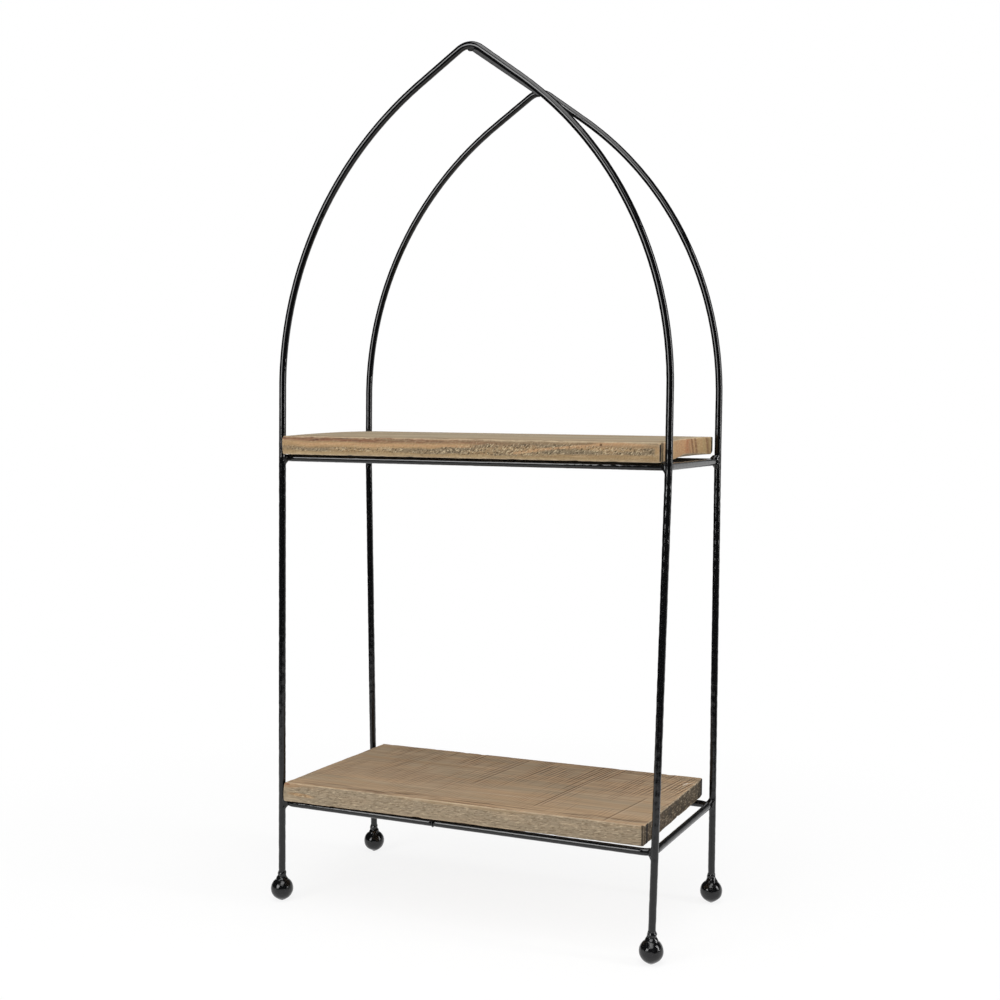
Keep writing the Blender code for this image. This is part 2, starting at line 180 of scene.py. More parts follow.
# %% A grid of points becomes a mesh
def surface(name, grid):
    """Mesh of a grid (rows, columns, 3) whose columns run round and join up. The first and the last
    row are each one point, and the faces next to them are triangles."""
    rows, columns = grid.shape[:2]
    points = grid.reshape(-1, 3)
    points = np.concatenate([points[columns - 1:-columns], points[-1:]])
    index = np.arange(rows * columns).reshape(rows, columns)
    index = np.clip(index - columns + 1, 0, len(points) - 1)
    after = np.roll(index, -1, axis=1)
    quads = np.stack([index[1:-2], after[1:-2], after[2:-1], index[2:-1]], axis=-1)
    first = np.stack([index[0], after[1], index[1]], axis=-1)
    last = np.stack([index[-2], after[-2], index[-1]], axis=-1)
    faces = quads.reshape(-1, 4).tolist() + first.tolist() + last.tolist()
    mesh = bpy.data.meshes.new(name)
    mesh.from_pydata(points.tolist(), [], faces)
    mesh.shade_smooth()
    return show(name, mesh)


def ripple(points, size, seed, waves=28):
    """Smooth noise in about -1 to 1 at each point: a sum of cosine waves in random directions,
    with lengths around size and random starts, divided by twice the root of half their number."""
    rng = np.random.default_rng(seed)
    way = rng.normal(size=(waves, 3))
    way /= np.linalg.norm(way, axis=1, keepdims=True)
    pace = 2 * np.pi / (size * rng.uniform(0.7, 1.6, waves))
    start = rng.uniform(0, 2 * np.pi, waves)
    phase = points.reshape(-1, 3) @ (way * pace[:, None]).T + start
    return (np.cos(phase).sum(axis=1) / np.sqrt(waves / 2) / 2).reshape(points.shape[:-1])


test_points = np.random.default_rng(1).random((500, 3))
print("a test ripple spans", np.round(np.ptp(ripple(test_points, 0.1, 2)), 2))

# %% [markdown]
# ## Rods
#
# Each arch is one steel rod, bent cold and dipped in lacquer. A curve with a bevel would give the
# tube, but not the slight lumps of the lacquer, which catch the light as broken highlights on the
# real legs. Here a circle is carried along the rod's centre line as a grid, and its radius swells
# and shrinks by a few hundredths of a millimetre.

# %% A rod along a path
ROD_SIDES = 28
ROD_STEP = 0.0016
LACQUER_LUMP = 0.00006
LUMP_LENGTH = 0.006
FINE_LUMP_LENGTH = 0.0022
LOW_LUMP_GAIN = 1.3
END_ROUNDING = 0.0006
END_PROFILE = ((0.0, 0.0), (0.0, 0.72), (0.35, 0.93))


def evenly(path, step):
    """The path's points taken again at equal distances along it, about a step apart."""
    path = np.asarray(path, float)
    keep = np.append(True, np.linalg.norm(np.diff(path, axis=0), axis=1) > 1e-7)
    path = path[keep]
    run = np.append(0.0, np.cumsum(np.linalg.norm(np.diff(path, axis=0), axis=1)))
    places = np.linspace(0.0, run[-1], int(run[-1] / step) + 2)
    return np.stack([np.interp(places, run, path[:, axis]) for axis in range(3)], axis=1)


def rod(name, path, side, seed, lump_below=0.0):
    """A circle carried along a path. side is a direction never along the path; at each point it is
    squared to the path's own direction t, and with n = side and b = t x n the surface is
    p + r (cos a n + sin a b). The radius r carries the lumps, which are stronger below the height
    lump_below. The ends round off: END_PROFILE gives steps along, as shares of END_ROUNDING, with
    the share of the radius that is left."""
    path = evenly(path, ROD_STEP)
    t = np.gradient(path, axis=0)
    t /= np.linalg.norm(t, axis=1, keepdims=True)
    n = np.asarray(side, float) - t * (t @ np.asarray(side, float))[:, None]
    n /= np.linalg.norm(n, axis=1, keepdims=True)
    b = np.cross(t, n)
    a = np.linspace(0, 2 * np.pi, ROD_SIDES, endpoint=False)
    ring = n[:, None] * np.cos(a)[None, :, None] + b[:, None] * np.sin(a)[None, :, None]
    spots = path[:, None] + ring * ROD_RADIUS
    noise = 0.6 * ripple(spots, LUMP_LENGTH, seed) + 0.4 * ripple(spots, FINE_LUMP_LENGTH, seed + 50)
    strength = LACQUER_LUMP * (1 + LOW_LUMP_GAIN * (spots[..., 2] < lump_below))
    radius = np.minimum(ROD_RADIUS - LACQUER_LUMP + strength * noise, ROD_RADIUS)
    grid = path[:, None] + ring * radius[..., None]
    head = [path[0] + t[0] * END_ROUNDING * along + ring[0] * ROD_RADIUS * out
            for along, out in END_PROFILE]
    tail = [path[-1] - t[-1] * END_ROUNDING * along + ring[-1] * ROD_RADIUS * out
            for along, out in END_PROFILE[::-1]]
    return surface(name, np.concatenate([np.stack(head), grid[1:-1], np.stack(tail)]))


print("a rod of", 2000 * ROD_RADIUS, "mm has", ROD_SIDES, "sides")

# %% [markdown]
# ## Arches and ridge
#
# An arch leaves the leg without a corner, follows a wide arc, runs straight for a few centimetres
# and turns over in a tight bend at the point. Arc, straight and half bend have to span half of the
# frame, which fixes the angle of the arc: R (1 - cos t) + S sin t + B cos t = L / 2.

# %% Arch centre lines
ARC_POINTS = 90
APEX_POINTS = 24
bend_less_arc = APEX_BEND_RADIUS - ARCH_RADIUS
arch_turn = math.atan2(ARCH_STRAIGHT, bend_less_arc) - math.acos(
    (FRAME_LENGTH / 2 - ARCH_RADIUS) / math.hypot(bend_less_arc, ARCH_STRAIGHT)
)
print("the arc of an arch turns by, degrees", round(math.degrees(arch_turn), 2))


def half_arch(spring_height):
    """Right half of an arch as arrays x and z: the arc, then the apex bend, which starts where the
    straight run ends."""
    angle = np.linspace(0, arch_turn, ARC_POINTS)
    arc_x = FRAME_LENGTH / 2 - ARCH_RADIUS + ARCH_RADIUS * np.cos(angle)
    arc_z = spring_height + ARCH_RADIUS * np.sin(angle)
    slope = math.pi / 2 - arch_turn
    bend = np.linspace(slope, 0, APEX_POINTS)
    bend_z = arc_z[-1] + ARCH_STRAIGHT * math.sin(slope) - APEX_BEND_RADIUS * math.cos(slope)
    x = np.append(arc_x, APEX_BEND_RADIUS * np.sin(bend))
    return x, np.append(arc_z, bend_z + APEX_BEND_RADIUS * np.cos(bend))


def unit(vector):
    """The vector at length one."""
    return vector / np.linalg.norm(vector)


def arch_path(side_y, spring_height):
    """Centre line of an arch wire: up the left leg, over the apex and down the right leg."""
    x, z = half_arch(spring_height)
    whole_x = np.concatenate([-x, x[::-1][1:]])
    whole_z = np.concatenate([z, z[::-1][1:]])
    top = frame_points(whole_x, side_y * FRAME_DEPTH / 2, whole_z, FRAME_TWIST / 2)
    foot = BALL_CENTRE_HEIGHT + BALL_RADIUS + GAP
    left = [leg_point(-1, side_y, foot), leg_point(-1, side_y, UPPER_SHELF_HEIGHT)]
    right = [leg_point(1, side_y, UPPER_SHELF_HEIGHT), leg_point(1, side_y, foot)]
    return np.concatenate([left, top, right])


# %% Arch wires and ridge rod
DRIP_BELOW = 0.35
along_top = frame_points(1.0, 0.0, 0.0, FRAME_TWIST / 2)
across_top = frame_points(0.0, 1.0, 0.0, FRAME_TWIST / 2)
pieces = {}
apex = {}
for place, side_y, spring in (("front", -1, FRONT_SPRING_HEIGHT), ("back", 1, BACK_SPRING_HEIGHT)):
    name = place + "_arch"
    pieces[name] = rod(name, arch_path(side_y, spring), across_top, 3 + side_y, DRIP_BELOW)
    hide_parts(place + "_arch_wire")
    top = half_arch(spring)[1][-1]
    apex[place] = frame_points(0.0, side_y * FRAME_DEPTH / 2, top, FRAME_TWIST / 2)

ridge_way = unit(apex["back"] - apex["front"])
ridge_ends = {
    "front": apex["front"] + ridge_way * (ROD_RADIUS + GAP),
    "back": apex["back"] - ridge_way * (ROD_RADIUS + GAP),
}
pieces["ridge"] = rod("ridge", list(ridge_ends.values()), (0, 0, 1), 9)
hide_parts("ridge_rod")
print("rods so far", sorted(pieces))

# %% [markdown]
# ## Shelf frames
#
# Each shelf rests on a rectangle bent from one rod, with its two ends butted and welded. The
# corners are bent so tightly that the rod passes just inside the leg it is welded to.

# %% Shelf frame centre lines
BUTT_HALF_GAP = 0.0009
BEND_POINTS = 14
bend_radius = (2 * ROD_RADIUS + GAP - math.sqrt(2) * SHELF_INSET) / (math.sqrt(2) - 1)
print("shelf frame corners are bent to a radius of, mm", round(1000 * bend_radius, 2))


def shelf_path(height, weld_side, weld_x):
    """Centre line of a shelf frame from one side of its butt weld round to the other. At a corner
    the circle's centre lies on the line that halves the angle, and the bend's points turn evenly
    from one rail's direction to the other's."""
    turn = frame_turn(height)
    corners = []
    for side_x, side_y in ((1, weld_side), (1, -weld_side), (-1, -weld_side), (-1, weld_side)):
        inward = frame_points(-side_x * SHELF_INSET, -side_y * SHELF_INSET, 0.0, turn)
        corners.append(leg_point(side_x, side_y, height) + inward)
    rail = unit(corners[0] - corners[3])
    weld = (corners[0] + corners[3]) / 2 + rail * weld_x
    path = [weld + rail * BUTT_HALF_GAP]
    for index, corner in enumerate(corners):
        before = unit(corners[index - 1] - corner)
        after = unit(corners[(index + 1) % 4] - corner)
        opening = math.acos(before @ after)
        centre = corner + unit(before + after) * bend_radius / math.sin(opening / 2)
        start = unit(corner + before * bend_radius / math.tan(opening / 2) - centre)
        end = unit(corner + after * bend_radius / math.tan(opening / 2) - centre)
        swing = math.acos(start @ end)
        for share in np.linspace(0, 1, BEND_POINTS):
            aside = math.sin((1 - share) * swing) * start + math.sin(share * swing) * end
            path.append(centre + aside / math.sin(swing) * bend_radius)
    path.append(weld - rail * BUTT_HALF_GAP)
    return np.array(path), weld, rail


# %% Shelf frames
SHELVES = {
    "upper": (UPPER_SHELF_HEIGHT, 1, 0.0),
    "lower": (LOWER_SHELF_HEIGHT, -1, -0.0217),
}
butts = {}
for number, (shelf, (height, weld_side, weld_x)) in enumerate(SHELVES.items()):
    path, weld, rail = shelf_path(height, weld_side, weld_x)
    name = shelf + "_ring"
    pieces[name] = rod(name, path, (0, 0, 1), 20 + number)
    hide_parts(shelf + "_shelf_frame")
    butts[shelf] = (weld, rail)
    print(shelf, "butt weld at, mm", np.round(1000 * weld, 1))

# %% [markdown]
# ## Welds
#
# The welds were left as they came and lacquered over: small shiny lumps in every crook. A ball
# would look turned, so each bead is a ball whose radius carries ripples. They overlap the rods they
# join, as molten metal does, and all of it rides on the welded frame.

# %% A weld bead
BEAD_ROWS = 30
BEAD_COLUMNS = 40


def bead(name, centre, sizes, way, seed, lumps=0.10):
    """An egg of three half sizes whose long side is turned towards way: centre plus the sizes times
    the unit direction (sin u cos v, sin u sin v, cos u), scaled by one plus ripples."""
    u = np.linspace(0, np.pi, BEAD_ROWS)[:, None]
    v = np.linspace(0, 2 * np.pi, BEAD_COLUMNS, endpoint=False)[None]
    ball = np.broadcast_arrays(np.sin(u) * np.cos(v), np.sin(u) * np.sin(v), np.cos(u))
    ball = np.stack(ball, axis=-1)
    scale = 1 + lumps * (ripple(ball, 1.1, seed) + 0.5 * ripple(ball, 0.5, seed + 1)) - lumps / 2
    turned = np.array([[way[0], -way[1], 0], [way[1], way[0], 0], [0, 0, 1]], float)
    grid = np.asarray(centre) + (ball * scale[..., None] * np.asarray(sizes)) @ turned.T
    return surface(name, grid[::-1])


print("a bead's grid has", BEAD_ROWS, "rows of", BEAD_COLUMNS)


# %% Corner welds
CORNER_SWELL = 0.0009
CORNER_SKIN = 0.00012
CORNER_LUMPS = 0.10
CORNER_ROWS = 36
CORNER_COLUMNS = 40
UPPER_BOARD_LIFT = 0.0026
WELD_RUN = 0.0032
weld_names = []


def corner_weld(name, sides, height, above, seed):
    """A fillet between a leg and the bend of a shelf frame. At a height h over the rail's axis it
    is a circle whose share s of the full weld is 1 beside the rail and falls away as a square
    towards its ends, to 0 where it runs out. Its middle is the leg's axis moved inward by the
    rod's radius times s, and its radius is the rod's plus the swell times s. above is where it
    ends over the axis; a weld that ends under a board is cut off while its share is still 0.4."""
    inward = unit(frame_points(-sides[0], -sides[1], 0.0, frame_turn(height)))
    aside = np.array([-inward[1], inward[0], 0.0])
    h = np.linspace(-ROD_RADIUS - WELD_RUN, above, CORNER_ROWS)[:, None]
    run = max(above - ROD_RADIUS, 0.0) + 1e-6
    reach = 0.45 * ROD_RADIUS + np.where(h < 0, WELD_RUN, run)
    over = np.clip((abs(h) - 0.55 * ROD_RADIUS) / reach, 0, 1)
    share = np.where((h > 0) & (run < 0.003), 1 - 0.6 * over ** 2, (1 - over) ** 2)
    around = np.linspace(0, 2 * np.pi, CORNER_COLUMNS, endpoint=False)[None]
    axis = np.stack([leg_point(*sides, height + step) for step in h[:, 0]])
    middle = axis + inward * ROD_RADIUS * share
    spots = middle[:, None] + np.stack([np.cos(around), np.sin(around), 0 * around], -1) * 0.003
    lumps = 1 + CORNER_LUMPS * share * ripple(spots, 0.004, seed)
    size = ROD_RADIUS - CORNER_SKIN + CORNER_SWELL * share
    ring = inward * np.cos(around)[..., None] + aside * np.sin(around)[..., None]
    grid = middle[:, None] + ring * (size * lumps)[..., None]
    cap = np.repeat(middle[:, None], grid.shape[1], axis=1)
    return surface(name, np.concatenate([cap[:1], grid, cap[-1:]]))


for shelf in SHELVES:
    for number, (corner, sides) in enumerate(CORNERS.items()):
        above = ROD_RADIUS - GAP
        if shelf == "upper" and sides[1] > 0:
            above = ROD_RADIUS + UPPER_BOARD_LIFT
        if shelf == "lower" and corner != "front_left":
            above = ROD_RADIUS + WELD_RUN
        name = shelf + "_corner_bead_" + corner
        seed = 100 + 10 * number + len(weld_names)
        pieces[name] = corner_weld(name, sides, SHELVES[shelf][0], above, seed)
        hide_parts(shelf + "_corner_weld_" + corner)
        weld_names.append(name)
print("corner welds", len(weld_names))

# %% Ridge welds and butt welds
RIDGE_BEAD = (0.0037, 0.0029, 0.0037)
BUTT_BEAD = (0.0009, 0.0031, 0.0031)
BUTT_SAG = 0.0004
for number, place in enumerate(("front", "back")):
    name = "ridge_bead_" + place
    pieces[name] = bead(name, ridge_ends[place], RIDGE_BEAD, unit(along_top), 200 + number)
    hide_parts("ridge_weld_" + place)
    weld_names.append(name)
for number, shelf in enumerate(SHELVES):
    weld, rail = butts[shelf]
    name = shelf + "_butt_bead"
    low_side = weld - np.array([0, 0, BUTT_SAG])
    pieces[name] = bead(name, low_side, BUTT_BEAD, rail, 300 + number, lumps=0.05)
    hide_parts(shelf + "_butt_weld")
    weld_names.append(name)
print("welds so far", len(weld_names))

# %% [markdown]
# ## Ball feet
#
# A solid steel ball is welded under each leg. The stand was dipped and hung up to dry on its arches,
# so the lacquer ran down and set as a small drip under each ball. The collar of weld between leg and
# ball is uneven and shows as a short rippled cone. A UV sphere would have neither drip nor dents, so
# both pieces are profiles carried round an axis.

# %% Balls and collars
BALL_ROWS = 72
BALL_COLUMNS = 72
DRIP_ANGLE = math.radians(28)
DRIP_ROWS = 8
DRIP_SAG = 0.0003
BALL_DENT = 0.00013
COLLAR_ROWS = 34
COLLAR_COLUMNS = 56
COLLAR_HEIGHT = 0.0050
COLLAR_RADIUS = 0.0053
COLLAR_SINK = 0.0004
COLLAR_SKIN = 0.0002
COLLAR_RINGS = 0.00026
COLLAR_LUMPS = 0.00042


def ball_foot(name, centre, seed):
    """A ball that runs out into a drip. Down the outside the radius is that of the ball up to the
    drip's angle from the bottom, and then a straight cone to the small flat; ripples dent it."""
    u = np.linspace(0, np.pi - DRIP_ANGLE, BALL_ROWS - DRIP_ROWS)
    r, z = BALL_RADIUS * np.sin(u), BALL_RADIUS * np.cos(u)
    floor_z = -BALL_CENTRE_HEIGHT
    flat = r[-1] - (z[-1] - floor_z) / math.tan(DRIP_ANGLE)
    share = np.linspace(0, 1, DRIP_ROWS)[1:]
    sag = DRIP_SAG * np.sin(np.pi * share)
    r = np.concatenate([r, r[-1] + (flat - r[-1]) * share + sag, [0.0]])
    z = np.concatenate([z, z[-1] + (floor_z - z[-1]) * share, [floor_z]])
    v = np.linspace(0, 2 * np.pi, BALL_COLUMNS, endpoint=False)
    r_column, z_column = r[:, None], z[:, None]
    grid = np.broadcast_arrays(r_column * np.cos(v), r_column * np.sin(v), z_column)
    grid = np.stack(grid, axis=-1)
    dent = BALL_DENT * (1 - ripple(grid, 0.0075, seed)) * (r_column > flat)
    grid = grid * (1 - dent / BALL_RADIUS)[..., None]
    grid[z <= floor_z + 1e-9, :, 2] = floor_z
    return surface(name, (grid + centre)[::-1])


def collar(name, centre, way, seed):
    """A cone of weld from the leg onto the ball: its radius grows partly evenly and partly with the
    cube of the way down, and wavy rings and a random noise make it look laid by hand."""
    down = np.linspace(0, 1, COLLAR_ROWS)[:, None]
    v = np.linspace(0, 2 * np.pi, COLLAR_COLUMNS, endpoint=False)[None]
    top = BALL_RADIUS + COLLAR_HEIGHT
    foot = math.sqrt(BALL_RADIUS ** 2 - COLLAR_RADIUS ** 2) - COLLAR_SINK
    thin = ROD_RADIUS + COLLAR_SKIN
    radius = thin + (COLLAR_RADIUS - thin) * (0.45 * down + 0.55 * down ** 3)
    rings = np.sin(down * 9.4 + 1.2 * np.sin(v + seed))
    radius = radius + COLLAR_RINGS * rings * np.sin(np.pi * down)
    height = top + (foot - top) * down
    grid = np.broadcast_arrays(radius * np.cos(v), radius * np.sin(v), height)
    grid = np.stack(grid, axis=-1)
    swell = COLLAR_LUMPS * ripple(grid, 0.0042, seed) * np.sin(np.pi * down) ** 0.5
    grid = grid + grid * [1, 1, 0] * (swell / radius)[..., None]
    end = np.zeros((1, COLLAR_COLUMNS, 3))
    grid = np.concatenate([end + [0, 0, top], grid, end + [0, 0, foot]])
    z_axis = unit(way)
    x_axis = unit(np.cross([0, 1, 0], z_axis))
    axes = np.stack([x_axis, np.cross(z_axis, x_axis), z_axis])
    return surface(name, (grid @ axes + centre)[::-1])


for number, (corner, sides) in enumerate(CORNERS.items()):
    centre = leg_point(*sides, BALL_CENTRE_HEIGHT)
    way = leg_point(*sides, UPPER_SHELF_HEIGHT) - centre
    name = "ball_" + corner
    pieces[name] = ball_foot(name, centre, 400 + number)
    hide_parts("foot_ball_" + corner)
    name = "collar_" + corner
    pieces[name] = collar(name, centre, way, 420 + number)
    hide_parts("foot_weld_" + corner)
    weld_names.append(name)
print("pieces so far", len(pieces))

# %% [markdown]
# ## Boards
#
# The boards are rough-sawn pine about fifteen millimetres thick, with the edges knocked off by
# hand. A bevelled cube would have the same edge everywhere. Here the outline of the board is walked
# round and a profile is carried along it, over the top edge, down the side and under, while the
# amount taken off each edge wanders. Two flat grids fill the top and the underside, on the same
# stations as the rim, so that the shell closes.

# %% A board in its own coordinates
BOARD_RIM = 0.0040
BOARD_CORNER = 0.0012
BOARD_STEP = 0.0016
CORNER_POINTS = 6
EDGE_EASE = 0.0008


def board_shell(length, depth, thickness, left_wear, seed):
    """Points and faces of a board centred on its own origin, underside at 0. Each station of the
    outline has a hub on a rectangle a rim's width inside it and a reach out to it. A rim point is
    hub + reach (1 - inset / rim) at a height, and inset and height follow the profile: in from the
    hub, over the eased top edge, down the side, over the lower edge and back to the hub. left_wear
    is how much more is taken off the top edge of the left end."""
    half_x, half_y = length / 2 - BOARD_RIM, depth / 2 - BOARD_RIM
    x = np.linspace(-half_x, half_x, int(2 * half_x / BOARD_STEP) + 1)
    y = np.linspace(-half_y, half_y, int(2 * half_y / BOARD_STEP) + 1)
    angle = np.linspace(0, np.pi / 2, CORNER_POINTS)
    hub, reach, facing = [], [], []
    walks = (
        (np.stack([x, np.full_like(x, -half_y)], 1), -np.pi / 2),
        (np.stack([np.full_like(y, half_x), y], 1), 0.0),
        (np.stack([x[::-1], np.full_like(x, half_y)], 1), np.pi / 2),
        (np.stack([np.full_like(y, -half_x), y[::-1]], 1), np.pi),
    )
    for walk, side in walks:
        normal = np.append(np.full(len(walk), side), side + angle)
        out = np.stack([np.cos(normal), np.sin(normal)], 1)
        diagonal = np.array([np.cos(side) - np.sin(side), np.sin(side) + np.cos(side)])
        corner = diagonal * (BOARD_RIM - BOARD_CORNER) + out[len(walk):] * BOARD_CORNER
        hub += [walk, np.repeat(walk[-1:], len(angle), 0)]
        reach += [out[:len(walk)] * BOARD_RIM, corner]
        facing.append(out)
    hub, reach, facing = (np.concatenate(parts) for parts in (hub, reach, facing))

    rim = np.column_stack([hub + reach, np.zeros(len(hub))])
    worn = left_wear * np.clip(-facing[:, :1], 0, 1)
    eases = []
    for wave, nick, start, share in ((0.030, 0.006, seed, 1.0), (0.024, 0.005, seed + 2, 0.7)):
        wander = 0.5 + 0.5 * ripple(rim, wave, start) + 0.25 * ripple(rim, nick, start + 1)
        eases.append(EDGE_EASE * (0.55 + np.clip(wander[:, None], 0.1, 1.6)) + share * worn)
    top_ease, low_ease = eases
    quarter = np.linspace(0, np.pi / 2, 7)
    flat = np.linspace(1, 0, 4)[None, 1:-1]
    inset = np.concatenate([
        top_ease + (BOARD_RIM - top_ease) * flat,
        top_ease * (1 - np.sin(quarter)),
        np.zeros((len(hub), 6)),
        low_ease * (1 - np.cos(quarter)),
        low_ease + (BOARD_RIM - low_ease) * flat[:, ::-1],
    ], axis=1)
    side_height = low_ease + (thickness - top_ease - low_ease) * np.linspace(1, 0, 8)[None, 1:-1]
    height = np.concatenate([
        np.full((len(hub), 2), thickness),
        thickness - top_ease * (1 - np.cos(quarter)),
        side_height,
        low_ease * (1 - np.sin(quarter)),
        np.zeros((len(hub), 2)),
    ], axis=1)
    plan = hub[:, None] + reach[:, None] * (1 - inset / BOARD_RIM)[..., None]
    rim_points = np.concatenate([plan, height[..., None]], axis=2)

    index = np.arange(height.size).reshape(height.shape)
    ahead = np.roll(index, -1, axis=0)
    rim_faces = np.stack([index[:, :-1], index[:, 1:], ahead[:, 1:], ahead[:, :-1]], axis=-1)
    flat_x, flat_y = np.meshgrid(x, y, indexing="ij")
    points, faces = [rim_points.reshape(-1, 3)], [rim_faces.reshape(-1, 4)]
    start = index.size
    for level, flip in ((thickness, False), (0.0, True)):
        cells = start + np.arange(flat_x.size).reshape(flat_x.shape)
        quads = np.stack([cells[:-1, :-1], cells[1:, :-1], cells[1:, 1:], cells[:-1, 1:]], axis=-1)
        rows = (cells[:, 0], cells[-1, :], cells[::-1, -1], cells[0, ::-1])
        ring = np.concatenate([np.append(row, np.repeat(row[-1], len(angle))) for row in rows])
        edge = index[:, -1] if flip else index[:, 0]
        strip = np.stack([ring, edge, np.roll(edge, -1), np.roll(ring, -1)], axis=-1)
        for block in (quads.reshape(-1, 4), strip):
            faces.append(block[:, ::-1] if flip else block)
        points.append(np.stack([flat_x, flat_y, np.full_like(flat_x, level)], axis=-1).reshape(-1, 3))
        start += flat_x.size
    return np.concatenate(points), np.concatenate(faces)


print("a board's rim is, mm", 1000 * BOARD_RIM, "and its edges are eased by about", 1000 * EDGE_EASE)

# %% [markdown]
# ## Wear and place of the boards
#
# The upper board is a rectangle, cupped by about a millimetre, and the lower edge of its right end
# is worn away. The lower board is cut out of square at both ends. Bending the finished shell gives
# both, and keeps its edges. Each point also stores two things for the wood: its place in the board's
# own millimetres, and its distances from the board's ends, sides and faces.

# %% Shapes of the two boards
DENT_DEPTH = 0.0008
DENT_REACH = 0.0012
WEAR_REACH = 0.006
BOARDS = {
    "upper": {
        "outline": (
            (-0.15110, -0.07875), (0.15110, -0.07875), (0.15110, 0.07875), (-0.15110, 0.07875),
        ),
        "thickness": 0.0142,
        "cup": 0.0009,
        "left_wear": 0.0028,
        "right_wear": (
            (-42, 0.0), (-20, 1.9), (-13, 2.8), (2, 2.5), (39, 1.3), (73, 0.4), (76, 1.2), (78, 2.6),
            (79, 4.2),
        ),
        "torn": 0.0002,
    },
    "lower": {
        "outline": (
            (-0.15329, -0.07520), (0.14360, -0.07520), (0.14577, 0.08040), (-0.14514, 0.08040),
        ),
        "thickness": 0.0150,
        "cup": 0.0,
        "left_wear": 0.0018,
        "right_wear": ((73, 0.0), (76, 0.7), (78.5, 2.0), (80.4, 4.2)),
        "torn": 0.0007,
    },
}


def store(mesh, name, values):
    """Keep one vector for each point of a mesh under a name."""
    attribute = mesh.attributes.new(name, "FLOAT_VECTOR", "POINT")
    attribute.data.foreach_set("vector", values.astype(np.float32).ravel())


def board(name, shape, centre, turn, tilt, seed):
    """A board's shell, dented along its edges, stretched from its rectangle to its outline, cupped,
    turned and moved to its place. With u and v from 0 to 1 along and across the rectangle, a point
    goes to (1-u)(1-v) A + u (1-v) B + u v C + (1-u) v D, where A to D are the outline's corners. The
    cup lifts it by a share of 1 - (2v - 1) squared, and the worn end lifts the underside's edge."""
    corners = np.array(shape["outline"])
    thickness = shape["thickness"]
    length = (corners[[1, 2], 0] - corners[[0, 3], 0]).mean()
    depth = (corners[[2, 3], 1] - corners[[0, 1], 1]).mean()
    points, faces = board_shell(length, depth, thickness, shape["left_wear"], seed)
    from_end = length / 2 - abs(points[:, 0])
    from_side = depth / 2 - abs(points[:, 1])
    from_face = thickness / 2 - abs(points[:, 2] - thickness / 2)
    edge = np.minimum(np.maximum(from_end, from_face), np.maximum(from_side, from_face))
    edge = np.minimum(edge, np.maximum(from_end, from_side))
    dent = np.clip(ripple(points, 0.012, seed + 5) - 0.5, 0, 1) * np.exp(-edge / DENT_REACH) * DENT_DEPTH
    inward = -np.sign(points - [0, 0, thickness / 2])
    inward[:, 0] *= from_end < BOARD_RIM
    inward[:, 1] *= from_side < BOARD_RIM
    points = points + inward * dent[:, None]
    right = np.clip(1 - (length / 2 - points[:, 0]) / WEAR_REACH, 0, 1)
    high = points[:, 2] / thickness
    tear = np.clip(ripple(points, 0.005, seed + 7) + 0.2, 0, 1) * shape["torn"]
    points[:, 2] -= tear * right ** 3 * high ** 6
    wear_y, wear_z = np.array(shape["right_wear"]).T / 1000
    points[:, 2] += np.interp(points[:, 1], wear_y, wear_z) * right * (1 - high)

    u = (points[:, 0] / length + 0.5)[:, None]
    v = (points[:, 1] / depth + 0.5)[:, None]
    a, b, c, d = corners
    plan = (1 - u) * (1 - v) * a + u * (1 - v) * b + u * v * c + (1 - u) * v * d
    own = np.column_stack([plan, points[:, 2]])
    shaped = own + np.array([0, 0, shape["cup"]]) * (1 - (2 * v - 1) ** 2)
    rotation = Matrix.Rotation(turn, 3, "Z") @ Matrix.Rotation(tilt, 3, "X")
    placed = shaped @ np.array(rotation).T + centre

    mesh = bpy.data.meshes.new(name)
    mesh.from_pydata(placed.tolist(), [], faces.tolist())
    store(mesh, "wood", own * 1000)
    store(mesh, "edges", np.column_stack([from_end, from_side, from_face]) * 1000)
    work = bmesh.new()
    work.from_mesh(mesh)
    bmesh.ops.remove_doubles(work, verts=work.verts, dist=2e-6)
    work.to_mesh(mesh)
    work.free()
    mesh.shade_smooth()
    return show(name, mesh)


print("outlines", sorted(BOARDS), "with dents of up to, mm", 1000 * DENT_DEPTH)


# %% Boards in their places
UPPER_BOARD_X = -0.0008
UPPER_BOARD_Y = -0.00215
LOWER_BOARD_TURN = math.radians(1.5)
upper_tilt = math.atan2(UPPER_BOARD_LIFT, FRAME_DEPTH - 2 * SHELF_INSET)
upper_turn = frame_turn(UPPER_SHELF_HEIGHT)
upper_rise = (FRAME_DEPTH / 2 - SHELF_INSET + UPPER_BOARD_Y) * math.tan(upper_tilt)
upper_floor = UPPER_SHELF_HEIGHT + ROD_RADIUS + GAP + upper_rise
upper_centre = frame_points(UPPER_BOARD_X, UPPER_BOARD_Y, upper_floor, upper_turn)
lower_turn = frame_turn(LOWER_SHELF_HEIGHT) + LOWER_BOARD_TURN
lower_centre = np.array([0.0, 0.0, LOWER_SHELF_HEIGHT + ROD_RADIUS + GAP])
places = {
    "upper": (upper_centre, upper_turn, upper_tilt, 500),
    "lower": (lower_centre, lower_turn, 0.0, 510),
}
for shelf, place in places.items():
    name = shelf + "_plank"
    plank = board(name, BOARDS[shelf], *place)
    pieces[name] = plank
    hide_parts(shelf + "_board")
    low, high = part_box(shelf + "_board")
    now = np.array([vertex.co for vertex in plank.data.vertices])
    print(shelf, "board is off the packed one by, mm", np.round(1000 * (now.min(0) - low), 2),
          np.round(1000 * (now.max(0) - high), 2))

# %% [markdown]
# ## Colours and nodes
#
# Colours are read off as sRGB hex values and have to be linear before a shader uses them. One small
# function turns them, and another adds a node with its settings and links and answers with one of
# its outputs, so that a pattern reads like a sum. A finish is built up as a painter would do it: a
# ground colour, then stains laid over it where certain shares overlap.

